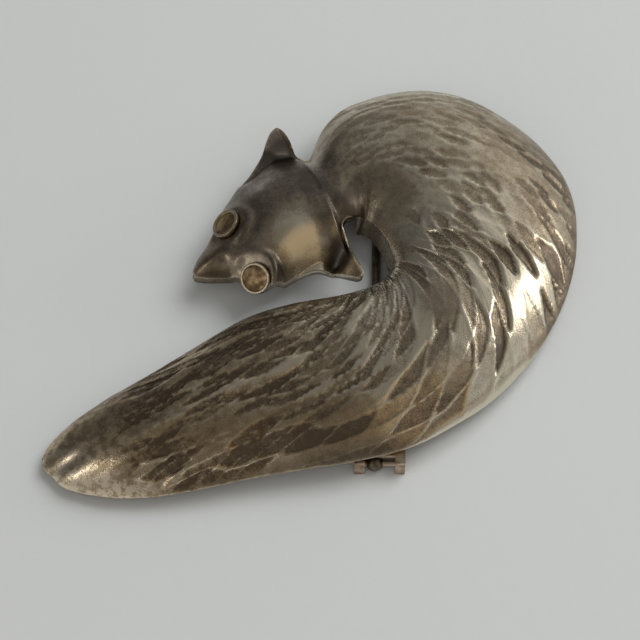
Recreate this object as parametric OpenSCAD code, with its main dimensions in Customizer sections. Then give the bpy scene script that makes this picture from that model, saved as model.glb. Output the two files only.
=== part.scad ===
// A curled fox brooch: one chased silver sheet, domed and pierced between chin and tail,
// two brass eyes seated on the head, and a hinged pin wire between a joint and a catch on the back.
// The face looks up (+Z), the tail runs to -X, and the lowest points of joint and catch lie at Z 0.

/* [Brooch] */
// Length from the tail's tip to the outer curve of the back
brooch_l = 58; // [52:0.5:64]
// Width from the tail's lower edge to the top of the shoulder
brooch_w = 50; // [45:0.5:55]
// Height of the rim where it stands highest over the surface
rim_h = 5.4; // [5:0.1:6]
// Rise of the domed sheet over its rim
dome_h = 5.2; // [4.4:0.1:6]
// Thickness of the silver sheet
sheet_t = 1; // [0.8:0.05:1.2]

/* [Fur] */
// Distance between two furrows of the chased fur
furrow_gap = 2.3; // [1.9:0.1:3]
// Length of one furrow
furrow_len = 7; // [5:0.5:10]
// Depth of a furrow at its middle
furrow_d = 0.36; // [0.2:0.02:0.5]

/* [Head] */
// Rise of the folded rear edge of an ear
ear_h = 2.4; // [1.6:0.1:3]
// Depth of the hollow inside an ear
ear_cup = 1.5; // [0.8:0.1:2]
// Rise of the forehead over the rest of the head
brow_h = 1; // [0.5:0.1:1.4]

/* [Eyes] */
// Diameter of a brass eye
eye_d = 3.4; // [3:0.1:3.8]
// Thickness of an eye at its border
eye_t = 0.5; // [0.4:0.05:0.7]
// Width of the border round an eye
eye_border = 0.3; // [0.2:0.05:0.45]
// Depth of the step inside the border
eye_step = 0.16; // [0.1:0.02:0.3]
// Gap between an eye and its flat seat
eye_gap = 0.08; // [0.05:0.01:0.15]

/* [Pin] */
// Diameter of the pin wire
wire_d = 1; // [0.8:0.05:1.1]
// Length of the wire's sharpened end
point_l = 5; // [3:0.5:7]
// Diameter of the wire at its very tip
point_d = 0.16; // [0.1:0.02:0.3]
// Length of the wire past the catch
point_over = 1.6; // [0.8:0.1:2.5]
// Diameter of the wire's round head in the joint
head_d = 1.8; // [1.6:0.05:2]

/* [Joint] */
// Clear width between the joint's two ears
joint_gap = 3.2; // [2.8:0.1:3.6]
// Thickness of an ear of the joint
joint_t = 1.05; // [0.8:0.05:1.2]
// Depth of the joint's ears along the wire
joint_w = 2.2; // [2:0.1:2.6]
// Thickness of the plate between the ears
plate_t = 0.5; // [0.4:0.05:0.6]
// How far the plate stands back between the ears
plate_back = 0.9; // [0.6:0.1:1.2]
// Distance from the rivet to the joint's front
joint_front = 0.8; // [0.6:0.05:1]
// Diameter of the hinge rivet
rivet_d = 0.7; // [0.6:0.05:0.8]
// Distance of the rivet inside the rim
rivet_in = 0.55; // [0.4:0.05:0.8]
// Gap round the rivet inside the wire's head
rivet_gap = 0.04; // [0.02:0.01:0.08]
// Gap between the wire's head and the joint
head_gap = 0.18; // [0.1:0.02:0.25]
// Gap between a soldered foot and the sheet
solder_gap = 0.1; // [0.05:0.01:0.2]

/* [Catch] */
// Length of the catch along the wire
catch_l = 3; // [2:0.1:4]
// Thickness of each prong of the catch
catch_t = 0.8; // [0.6:0.05:1]
// Gap between the wire and the catch
catch_gap = 0.15; // [0.1:0.01:0.25]

/* [Hidden] */

// Sections of the sheet from the tail's tip round the back to the nose. Each row joins a point of the
// outer edge to one of the inner edge. Columns: outer x, outer y, outer rim, inner x, inner y, inner rim,
// dome, crest, foot, flap, sweep. x is a share of brooch_l and y of brooch_w, both from the middle; the
// rims are shares of rim_h and the dome of dome_h. The crest is where across the sheet the dome peaks, 0
// at the inner edge. The foot is how softly the dome runs out at its border, under 1 for a steep border.
// The flap is the share of the section that lies flat outside the dome, as the ears do. The sweep is the
// angle of the fur to the section's path, in degrees.
OX = 0;
OY = 1;
OZ = 2;
IX = 3;
IY = 4;
IZ = 5;
DOME = 6;
CREST = 7;
FOOT = 8;
FLAP = 9;
SWEEP = 10;
DRIFT = 11;
ALONG = 12;
SECTIONS = [
    [-0.499, -0.417, 0.23, -0.500, -0.402, 0.24, 0.00, 0.50, 0.8, 0, 8],
    [-0.494, -0.430, 0.22, -0.496, -0.388, 0.25, 0.06, 0.50, 0.8, 0, 8],
    [-0.482, -0.447, 0.22, -0.486, -0.368, 0.26, 0.16, 0.50, 0.8, 0, 8],
    [-0.449, -0.476, 0.23, -0.450, -0.328, 0.34, 0.38, 0.52, 0.8, 0, 8],
    [-0.390, -0.494, 0.27, -0.390, -0.278, 0.45, 0.58, 0.54, 0.8, 0, 8],
    [-0.310, -0.500, 0.33, -0.316, -0.228, 0.56, 0.72, 0.55, 0.8, 0, 8],
    [-0.220, -0.488, 0.42, -0.228, -0.164, 0.67, 0.80, 0.55, 0.8, 0, 10],
    [-0.120, -0.465, 0.50, -0.135, -0.096, 0.74, 0.84, 0.55, 0.8, 0, 12],
    [-0.022, -0.447, 0.57, -0.052, -0.064, 0.80, 0.86, 0.54, 0.8, 0, 16],
    [ 0.066, -0.431, 0.60,  0.023, -0.050, 0.86, 0.88, 0.52, 0.8, 0, 24],
    [ 0.156, -0.402, 0.58,  0.078, -0.036, 0.90, 0.90, 0.50, 0.8, 0, 34],
    [ 0.242, -0.347, 0.51,  0.111, -0.020, 0.93, 0.93, 0.48, 0.8, 0, 42],
    [ 0.333, -0.264, 0.40,  0.129, -0.002, 0.96, 0.97, 0.46, 0.8, 0, 46],
    [ 0.413, -0.146, 0.30,  0.137,  0.018, 0.98, 1.00, 0.45, 0.8, 0, 46],
    [ 0.470, -0.014, 0.23,  0.138,  0.039, 1.00, 1.00, 0.45, 0.8, 0, 42],
    [ 0.498,  0.130, 0.23,  0.134,  0.061, 1.00, 1.00, 0.46, 0.8, 0, 36],
    [ 0.490,  0.262, 0.31,  0.127,  0.084, 1.00, 0.98, 0.48, 0.8, 0, 28],
    [ 0.438,  0.366, 0.43,  0.117,  0.103, 1.00, 0.94, 0.50, 0.8, 0, 20],
    [ 0.362,  0.443, 0.55,  0.108,  0.117, 1.00, 0.90, 0.52, 0.8, 0, 12],
    [ 0.283,  0.489, 0.66,  0.099,  0.127, 0.99, 0.85, 0.55, 0.8, 0, 6],
    [ 0.203,  0.500, 0.74,  0.091,  0.132, 0.99, 0.80, 0.58, 0.8, 0, 2],
    [ 0.122,  0.483, 0.78,  0.086,  0.133, 1.01, 0.73, 0.60, 0.85, 0, 0],
    [ 0.054,  0.442, 0.81,  0.080,  0.132, 1.04, 0.66, 0.58, 0.9, 0, 0],
    [ 0.012,  0.388, 0.84,  0.074,  0.129, 1.07, 0.61, 0.56, 1.0, 0, 0],
    [-0.007,  0.338, 0.87,  0.065,  0.125, 1.10, 0.565, 0.54, 1.0, 0.03, 0],
    [-0.016,  0.305, 0.90,  0.052,  0.117, 1.15, 0.53, 0.53, 1.08, 0.07, 0],
    [-0.031,  0.302, 0.94,  0.046,  0.100, 1.16, 0.51, 0.53, 1.12, 0.12, 0],
    [-0.044,  0.312, 0.94,  0.054,  0.072, 1.07, 0.562, 0.54, 1.16, 0.16, 0],
    [-0.054,  0.334, 0.94,  0.067,  0.026, 0.98, 0.602, 0.55, 1.22, 0.22, 0],
    [-0.070,  0.350, 0.94,  0.081, -0.018, 0.96, 0.605, 0.56, 1.25, 0.27, 0],
    [-0.089,  0.352, 0.93,  0.077, -0.028, 0.93, 0.63, 0.54, 1.27, 0.28, 0],
    [-0.100,  0.339, 0.90,  0.052, -0.007, 0.90, 0.66, 0.51, 1.22, 0.23, 0],
    [-0.110,  0.309, 0.87,  0.020,  0.017, 0.88, 0.69, 0.48, 1.13, 0.15, 0],
    [-0.132,  0.261, 0.84, -0.018,  0.013, 0.84, 0.69, 0.46, 1.02, 0.06, 0],
    [-0.154,  0.229, 0.82, -0.050, -0.006, 0.82, 0.66, 0.47, 0.9, 0, 0],
    [-0.169,  0.198, 0.80, -0.076, -0.028, 0.80, 0.61, 0.49, 0.8, 0, 0],
    [-0.183,  0.169, 0.78, -0.098, -0.037, 0.78, 0.56, 0.50, 0.8, 0, 0],
    [-0.192,  0.136, 0.77, -0.119, -0.034, 0.77, 0.50, 0.50, 0.8, 0, 0],
    [-0.197,  0.108, 0.75, -0.139, -0.016, 0.75, 0.44, 0.50, 0.8, 0, 0],
    [-0.207,  0.088, 0.73, -0.158,  0.001, 0.73, 0.38, 0.50, 0.8, 0, 0],
    [-0.218,  0.070, 0.71, -0.182,  0.003, 0.71, 0.32, 0.50, 0.8, 0, 0],
    [-0.228,  0.049, 0.69, -0.205,  0.003, 0.69, 0.24, 0.50, 0.8, 0, 0],
    [-0.234,  0.029, 0.68, -0.224,  0.005, 0.68, 0.12, 0.50, 0.8, 0, 0],
    [-0.236,  0.020, 0.68, -0.232,  0.009, 0.68, 0.02, 0.50, 0.8, 0, 0],
];
LAST = len(SECTIONS) - 1;

// Bulges of head and neck. Columns: x, y, reach along, reach across, turn, height. Places and reaches
// are shares of brooch_l, the turn is in degrees and the height is a share of brow_h.
BULGES = [
    [-0.050, 0.080, 0.070, 0.060, 29,  0.60],
    [-0.150, 0.055, 0.030, 0.022, 29, -0.30],
    [-0.195, 0.028, 0.040, 0.016, 29,  0.45],
    [-0.105, 0.205, 0.060, 0.018, 50, -0.25],
    [-0.030, 0.000, 0.040, 0.016, 10, -0.25],
    [ 0.055, 0.121, 0.036, 0.036,  0,  1.00],
];

// The ears. Columns: x and y of the root and of the tip of the folded rear edge, 1 or -1 for the side of
// the fold on which the ear lies, x and y of the hollow, its turn, its reach along the turn and across it,
// and its depth as a share of ear_cup. All lengths are shares of brooch_l.
EARS = [
    [-0.033, 0.261, -0.079, 0.304, -1, -0.078, 0.272, -20, 0.022, 0.014, 0.45],
    [ 0.045, 0.098,  0.083, -0.021, 1,  0.036, 0.036,  62, 0.032, 0.017, 1.00],
];
// How far the fold of an ear's rear edge reaches into the ear, as a share of brooch_l
FOLD_REACH = 0.056;

// Section at which the bulges of head and neck begin, and the sections over which they grow
HEAD_FROM = 20;
HEAD_FADE = 2;

// How full the dome is across the sheet: 2 is a circle's arc, and more is flatter on top
FULLNESS = 2.3;

// Sections between which the fur is chased, with the sections over which it fades at either end, and the
// share of the sheet's width over which it fades at either rim
FUR_FROM = 2.5;
FUR_TO = 23.5;
FUR_FADE = 2;
FUR_RIM = 0.06;
// Sway of a row of furrows as a share of furrow_gap, its waves in a furrow's length, and the turn of the
// wave from one row to the next
SWAY = 0.22;
SWAY_WAVES = 0.7;
SWAY_TURN = 70;
// Uneven stagger of the rows as a share of furrow_len, and the turn that shuffles it
STAGGER = 0.31;
STAGGER_TURN = 137;

// Where the upper and the lower eye sit: section, place across, and lean to the nose and upwards
EYE_PLACES = [[36.45, 0.765, 0.05, 0], [36.3, 0.115, 0.5, 0.35]];
// Sections before and behind an eye that give the way to the nose
EYE_AHEAD = 0.5;
// How far round an eye the sheet is flattened for its seat, as a share of eye_d
SEAT_REACH = 0.53;
SEAT_FADE = 0.40;

// Where the joint meets the outer edge, with the sections that it spans to either side
JOINT_SECTION = 9.4;
JOINT_SPAN = 0.5;
// Where the catch stands: section and place across the sheet, with what it spans to either side
CATCH_SECTION = 20.8;
CATCH_SPAN = 0.6;
CATCH_ACROSS = 0.58;
CATCH_ACROSS_SPAN = 0.12;

// Mesh of the sheet: coarse step along the longer edge on body and head as a share of brooch_l, coarse
// steps across, and how much closer they lie at the rims
BODY_STEP = 0.038;
HEAD_STEP = 0.02;
STEPS_V = 13;
CROWDING = 0.05;

function point_of(sec) = [(sec[OX] + sec[IX]) / 2 * brooch_l, (sec[OY] + sec[IY]) / 2 * brooch_w];
function width_of(sec) = norm([(sec[OX] - sec[IX]) * brooch_l, (sec[OY] - sec[IY]) * brooch_w]);
function edge_gap(a, b) = max(
    norm([(a[OX] - b[OX]) * brooch_l, (a[OY] - b[OY]) * brooch_w]),
    norm([(a[IX] - b[IX]) * brooch_l, (a[IY] - b[IY]) * brooch_w]));

// Each row gains the sideways and the lengthwise run of the fur up to it
MIDS = [for (sec = SECTIONS) point_of(sec)];
GAPS = [for (i = [0:LAST]) i == 0 ? 0 : norm(MIDS[i] - MIDS[i - 1])];
DRIFTS = [for (i = 0, a = 0; i <= LAST;
    i = i + 1, a = a + (i <= LAST ? GAPS[i] * sin(SECTIONS[i][SWEEP]) : 0)) a];
ALONGS = [for (i = 0, a = 0; i <= LAST;
    i = i + 1, a = a + (i <= LAST ? GAPS[i] * cos(SECTIONS[i][SWEEP]) : 0)) a];
TABLE = [for (i = [0:LAST]) concat(SECTIONS[i], [DRIFTS[i], ALONGS[i]])];

// A smooth curve through the rows: all columns of the section at u, a row number with a fraction
function section(u) =
    let (i = min(max(floor(u), 0), LAST - 1),
         t = u - i,
         a = TABLE[max(i - 1, 0)],
         b = TABLE[i],
         c = TABLE[i + 1],
         d = TABLE[min(i + 2, LAST)])
    b + 0.5 * t * ((c - a) + t * ((2 * a - 5 * b + 4 * c - d) + t * (3 * (b - c) + d - a)));

function smooth(t) = let (s = min(max(t, 0), 1)) s * s * (3 - 2 * s);

// Rise of the dome across the sheet: 1 at the crest and 0 at both flaps
function dome(v, sec) =
    let (crest = sec[CREST],
         w = abs(v < crest ? (crest - v) / crest : (v - crest) / (1 - crest)) / (1 - max(sec[FLAP], 0)))
    pow(max(1 - pow(w, FULLNESS), 0), sec[FOOT]);

function sum(list, i = 0) = i >= len(list) ? 0 : list[i] + sum(list, i + 1);
// A smooth hill of height 1 at a place, with its reach along and across a turned axis
function hill(x, y, cx, cy, turn, along, across) =
    let (dx = x - cx,
         dy = y - cy)
    exp(-pow((dx * cos(turn) + dy * sin(turn)) / along, 2) - pow((dy * cos(turn) - dx * sin(turn)) / across, 2));
function bulges(x, y) = brow_h * sum([for (b = BULGES) b[5] * hill(x, y, b[0], b[1], b[4], b[2], b[3])]);
function ears(x, y) = sum([for (e = EARS)
    let (fold = [e[2] - e[0], e[3] - e[1]],
         along = ((x - e[0]) * fold[0] + (y - e[1]) * fold[1]) / (fold * fold),
         off = e[4] * ((x - e[0]) * fold[1] - (y - e[1]) * fold[0]) / norm(fold))
    ear_h * smooth(along) * pow(1 - min(max(off / FOLD_REACH, 0), 1), 2)
        - ear_cup * e[10] * hill(x, y, e[5], e[6], e[7], e[8], e[9])]);

// The plain sheet without fur or seats, for one section and a place across it
function plain(sec, u, v) =
    let (x = ((1 - v) * sec[IX] + v * sec[OX]) * brooch_l,
         y = ((1 - v) * sec[IY] + v * sec[OY]) * brooch_w,
         rim = ((1 - v) * sec[IZ] + v * sec[OZ]) * rim_h,
         rise = dome_h * sec[DOME] * dome(v, sec),
         head = smooth((u - HEAD_FROM) / HEAD_FADE))
    [x, y, rim + rise + head * (bulges(x / brooch_l, y / brooch_l) + ears(x / brooch_l, y / brooch_l))];
function plain_at(u, v) = plain(section(u), u, v);
function unit(a) = a / norm(a);
function normal_at(u, v) =
    let (e = 0.04, f = 0.01,
         along = plain_at(min(u + e, LAST), v) - plain_at(max(u - e, 0), v),
         across = plain_at(u, min(v + f, 1)) - plain_at(u, max(v - f, 0)))
    unit(cross(across, along));
function back_at(u, v) = plain_at(u, v) - sheet_t * normal_at(u, v);

// Frames of the eyes: middle of the flat seat, and its normal
EYES = [for (place = EYE_PLACES)
    let (u = place[0], v = place[1], ahead = unit(plain_at(u + EYE_AHEAD, v) - plain_at(u - EYE_AHEAD, v)))
    [plain_at(u, v), unit(normal_at(u, v) + place[2] * ahead + [0, 0, place[3]])]];
function seat(p, eye) =
    let (d = p - eye[0],
         flat = norm([d[0], d[1]]) / eye_d,
         share = 1 - smooth((flat - SEAT_REACH) / SEAT_FADE),
         level = eye[0][2] - (d[0] * eye[1][0] + d[1] * eye[1][1]) / eye[1][2])
    [p[0], p[1], p[2] + share * (level - p[2])];
function seated(p) = seat(seat(p, EYES[0]), EYES[1]);

// Depth of the chased fur: long lens-shaped hollows in staggered rows that flow from neck to tail
function furrow(sec, u, v) =
    let (w = (v - 0.5) * width_of(sec),
         t = (w * cos(sec[SWEEP]) + sec[DRIFT]) / furrow_gap,
         s = (w * sin(sec[SWEEP]) - sec[ALONG]) / furrow_len,
         tw = t + SWAY * sin(360 * SWAY_WAVES * s + SWAY_TURN * t),
         row = floor(tw),
         sw = s + 0.5 * (row % 2) + STAGGER * sin(STAGGER_TURN * row),
         across = 2 * (tw - row) - 1,
         along = 2 * (sw - floor(sw)) - 1,
         here = smooth((u - FUR_FROM) / FUR_FADE) * smooth((FUR_TO - u) / FUR_FADE)
             * smooth(v / FUR_RIM) * smooth((1 - v) / FUR_RIM))
    furrow_d * here * (1 - across * across) * (1 - along * along * along * along);
function chased(sec, u, v) = seated(plain(sec, u, v)) - [0, 0, furrow(sec, u, v)];

// Rows of the mesh: as many coarse steps between two sections as the longer edge needs
COARSE_U = [for (i = [0:LAST - 1])
    let (step = brooch_l * (i < FUR_TO ? BODY_STEP : HEAD_STEP),
         n = max(1, round(edge_gap(SECTIONS[i], SECTIONS[i + 1]) / step)))
    for (k = [0:n - 1]) i + k / n, LAST];
FINE_U = [for (i = [0:len(COARSE_U) - 2]) each [COARSE_U[i], (COARSE_U[i] + COARSE_U[i + 1]) / 2], LAST];
function spread(t) = t - CROWDING * sin(360 * t);
COARSE_V = [for (j = [0:STEPS_V]) spread(j / STEPS_V)];
FINE_V = [for (j = [0:2 * STEPS_V]) spread(j / (2 * STEPS_V))];

module fox_shell() {
    nu = len(FINE_U);
    nv = len(FINE_V);
    mu = len(COARSE_U);
    mv = len(COARSE_V);
    top = [for (u = FINE_U) let (sec = section(u)) for (v = FINE_V) chased(sec, u, v)];
    back = [for (u = COARSE_U) for (v = COARSE_V) seated(plain_at(u, v)) - sheet_t * normal_at(u, v)];
    base = nu * nv;
    function t(i, j) = i * nv + j;
    function b(i, j) = base + i * mv + j;
    // The rim joins two fine edges of the top to one coarse edge of the back
    function rim(t0, t1, t2, b0, b1) = [[t0, t1, b0], [t1, t2, b1], [t1, b1, b0]];
    points = concat(top, back);
    // A cell is split along its shorter diagonal
    function cell(a, b, c, d) = norm(points[a] - points[c]) < norm(points[b] - points[d])
        ? [[a, b, c], [a, c, d]] : [[a, b, d], [b, c, d]];
    faces = concat(
        [for (i = [0:nu - 2]) for (j = [0:nv - 2]) each
            cell(t(i, j), t(i + 1, j), t(i + 1, j + 1), t(i, j + 1))],
        [for (i = [0:mu - 2]) for (j = [0:mv - 2]) each
            cell(b(i, j), b(i, j + 1), b(i + 1, j + 1), b(i + 1, j))],
        [for (i = [0:mu - 2]) each
            rim(t(2 * i + 2, 0), t(2 * i + 1, 0), t(2 * i, 0), b(i + 1, 0), b(i, 0))],
        [for (i = [0:mu - 2]) each rim(t(2 * i, nv - 1), t(2 * i + 1, nv - 1), t(2 * i + 2, nv - 1),
            b(i, mv - 1), b(i + 1, mv - 1))],
        [for (j = [0:mv - 2]) each rim(t(0, 2 * j), t(0, 2 * j + 1), t(0, 2 * j + 2), b(0, j), b(0, j + 1))],
        [for (j = [0:mv - 2]) each rim(t(nu - 1, 2 * j + 2), t(nu - 1, 2 * j + 1), t(nu - 1, 2 * j),
            b(mu - 1, j + 1), b(mu - 1, j))]);
    color("silver") polyhedron(points, faces, convexity = 8);
}

// A brass disc with a raised border, lying on its flat seat
module eye(frame) {
    n = frame[1];
    translate(frame[0] + eye_gap * n)
    rotate([0, acos(n[2]), atan2(n[1], n[0])])
    color("peru") difference() {
        cylinder(d = eye_d, h = eye_t, $fn = 48);
        translate([0, 0, eye_t - eye_step])
            cylinder(d = eye_d - 2 * eye_border, h = eye_t, $fn = 48);
    }
}
module eye_upper() { eye(EYES[0]); }
module eye_lower() { eye(EYES[1]); }

// The joint stands under the rim: its plate just clears the lowest rim above it
JOINT_TOP = min([for (i = [-1:0.2:1]) back_at(JOINT_SECTION + i * JOINT_SPAN, 1)[2]]) - solder_gap;
WIRE_Z = JOINT_TOP - plate_t - head_gap - head_d / 2;
EDGE = plain_at(JOINT_SECTION, 1);
RIVET = [EDGE[0], EDGE[1] + rivet_in, WIRE_Z];
JOINT_X0 = RIVET[0] - head_d / 2 - head_gap - joint_t;
JOINT_X1 = JOINT_X0 + joint_gap + 2 * joint_t;

// Two ears under one plate that stands back between them, with a hole for the rivet through both
module pin_joint() {
    front = RIVET[1] - joint_front;
    color("tan") difference() {
        translate([JOINT_X0, front, 0])
            cube([JOINT_X1 - JOINT_X0, joint_w, JOINT_TOP]);
        translate([JOINT_X0 + joint_t, front - joint_w, -joint_w])
            cube([joint_gap, 3 * joint_w, JOINT_TOP - plate_t + joint_w]);
        translate([JOINT_X0 + joint_t, front - joint_w, -joint_w])
            cube([joint_gap, joint_w + plate_back, JOINT_TOP + 2 * joint_w]);
        translate([JOINT_X0 - joint_t, RIVET[1], RIVET[2]]) rotate([0, 90, 0])
            cylinder(d = rivet_d + 2 * rivet_gap, h = JOINT_X1 - JOINT_X0 + 2 * joint_t, $fn = 32);
    }
}

// A plain rod with its ends flush with the joint
module hinge_rivet() {
    color("tan") translate([JOINT_X0, RIVET[1], RIVET[2]]) rotate([0, 90, 0])
        cylinder(d = rivet_d, h = JOINT_X1 - JOINT_X0, $fn = 32);
}

// The catch stands under the shoulder, and the wire runs to it from the joint
CATCH = plain_at(CATCH_SECTION, CATCH_ACROSS);
WIRE_TURN = -atan2(CATCH[0] - RIVET[0], CATCH[1] - RIVET[1]);
WIRE_TO_CATCH = norm([CATCH[0] - RIVET[0], CATCH[1] - RIVET[1]]);
WIRE_L = WIRE_TO_CATCH + catch_l / 2 + point_over;

// A round head with a hole for the rivet, and a straight wire that ends in a point
module pin_wire() {
    color("tan") translate(RIVET) rotate([0, 0, WIRE_TURN]) difference() {
        union() {
            sphere(d = head_d, $fn = 40);
            rotate([-90, 0, 0]) cylinder(d = wire_d, h = WIRE_L - point_l, $fn = 32);
            translate([0, WIRE_L - point_l, 0]) rotate([-90, 0, 0])
                cylinder(d1 = wire_d, d2 = point_d, h = point_l, $fn = 32);
        }
        rotate([0, 0, -WIRE_TURN]) translate([-head_d, 0, 0]) rotate([0, 90, 0])
            cylinder(d = rivet_d + 2 * rivet_gap, h = 2 * head_d, $fn = 32);
    }
}

// A fork whose two prongs stand either side of the wire, on a post soldered inside the shoulder
CATCH_W = wire_d + 2 * catch_gap + 2 * catch_t;
CATCH_TOP = min([for (i = [-1:1]) for (j = [-1:1])
    back_at(CATCH_SECTION + i * CATCH_SPAN, CATCH_ACROSS + j * CATCH_ACROSS_SPAN)[2]]) - solder_gap;
module catch() {
    color("tan") translate([CATCH[0], CATCH[1], 0]) rotate([0, 0, WIRE_TURN]) difference() {
        translate([-CATCH_W / 2, -catch_l / 2, 0])
            cube([CATCH_W, catch_l, CATCH_TOP]);
        translate([-wire_d / 2 - catch_gap, -catch_l, -wire_d])
            cube([wire_d + 2 * catch_gap, 2 * catch_l, WIRE_Z + wire_d]);
        translate([0, -catch_l, WIRE_Z]) rotate([-90, 0, 0])
            cylinder(d = wire_d + 2 * catch_gap, h = 2 * catch_l, $fn = 32);
    }
}

fox_shell();
eye_upper();
eye_lower();
pin_joint();
hinge_rivet();
pin_wire();
catch();
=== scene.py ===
"""A curled fox brooch in tarnished silver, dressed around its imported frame.

The sheet of the fox is worked out with numpy from one table of sections, and the fur is chased into it
as drop-shaped cuts. The eyes are turned profiles, and joint, rivet, catch and wire are the frame's own.
Lengths are in metres.
"""

from __future__ import annotations

import logging
import math
from dataclasses import dataclass, field
from enum import IntEnum

import bpy
import numpy as np
from mathutils import Matrix, Vector

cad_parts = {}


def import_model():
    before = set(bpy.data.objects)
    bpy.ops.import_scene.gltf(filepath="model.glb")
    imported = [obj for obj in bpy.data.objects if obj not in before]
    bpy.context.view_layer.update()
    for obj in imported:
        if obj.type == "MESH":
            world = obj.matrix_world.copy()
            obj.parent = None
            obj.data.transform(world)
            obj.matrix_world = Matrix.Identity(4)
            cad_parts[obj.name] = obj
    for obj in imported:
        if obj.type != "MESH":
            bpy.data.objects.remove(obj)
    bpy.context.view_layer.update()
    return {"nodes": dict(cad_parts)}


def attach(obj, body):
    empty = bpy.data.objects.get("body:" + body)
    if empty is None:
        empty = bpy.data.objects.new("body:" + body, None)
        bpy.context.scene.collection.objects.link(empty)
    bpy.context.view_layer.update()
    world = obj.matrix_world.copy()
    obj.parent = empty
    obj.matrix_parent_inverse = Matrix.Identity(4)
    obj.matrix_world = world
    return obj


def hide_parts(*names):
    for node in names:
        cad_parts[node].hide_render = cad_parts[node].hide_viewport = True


LOG = logging.getLogger("fox_brooch")
MM = 0.001
Array = np.ndarray
Colour = tuple[float, float, float]


class Column(IntEnum):
    """Columns of the section table."""

    OUTER_X = 0
    OUTER_Y = 1
    OUTER_RIM = 2
    INNER_X = 3
    INNER_Y = 4
    INNER_RIM = 5
    DOME = 6
    CREST = 7
    FOOT = 8
    FLAP = 9


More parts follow.
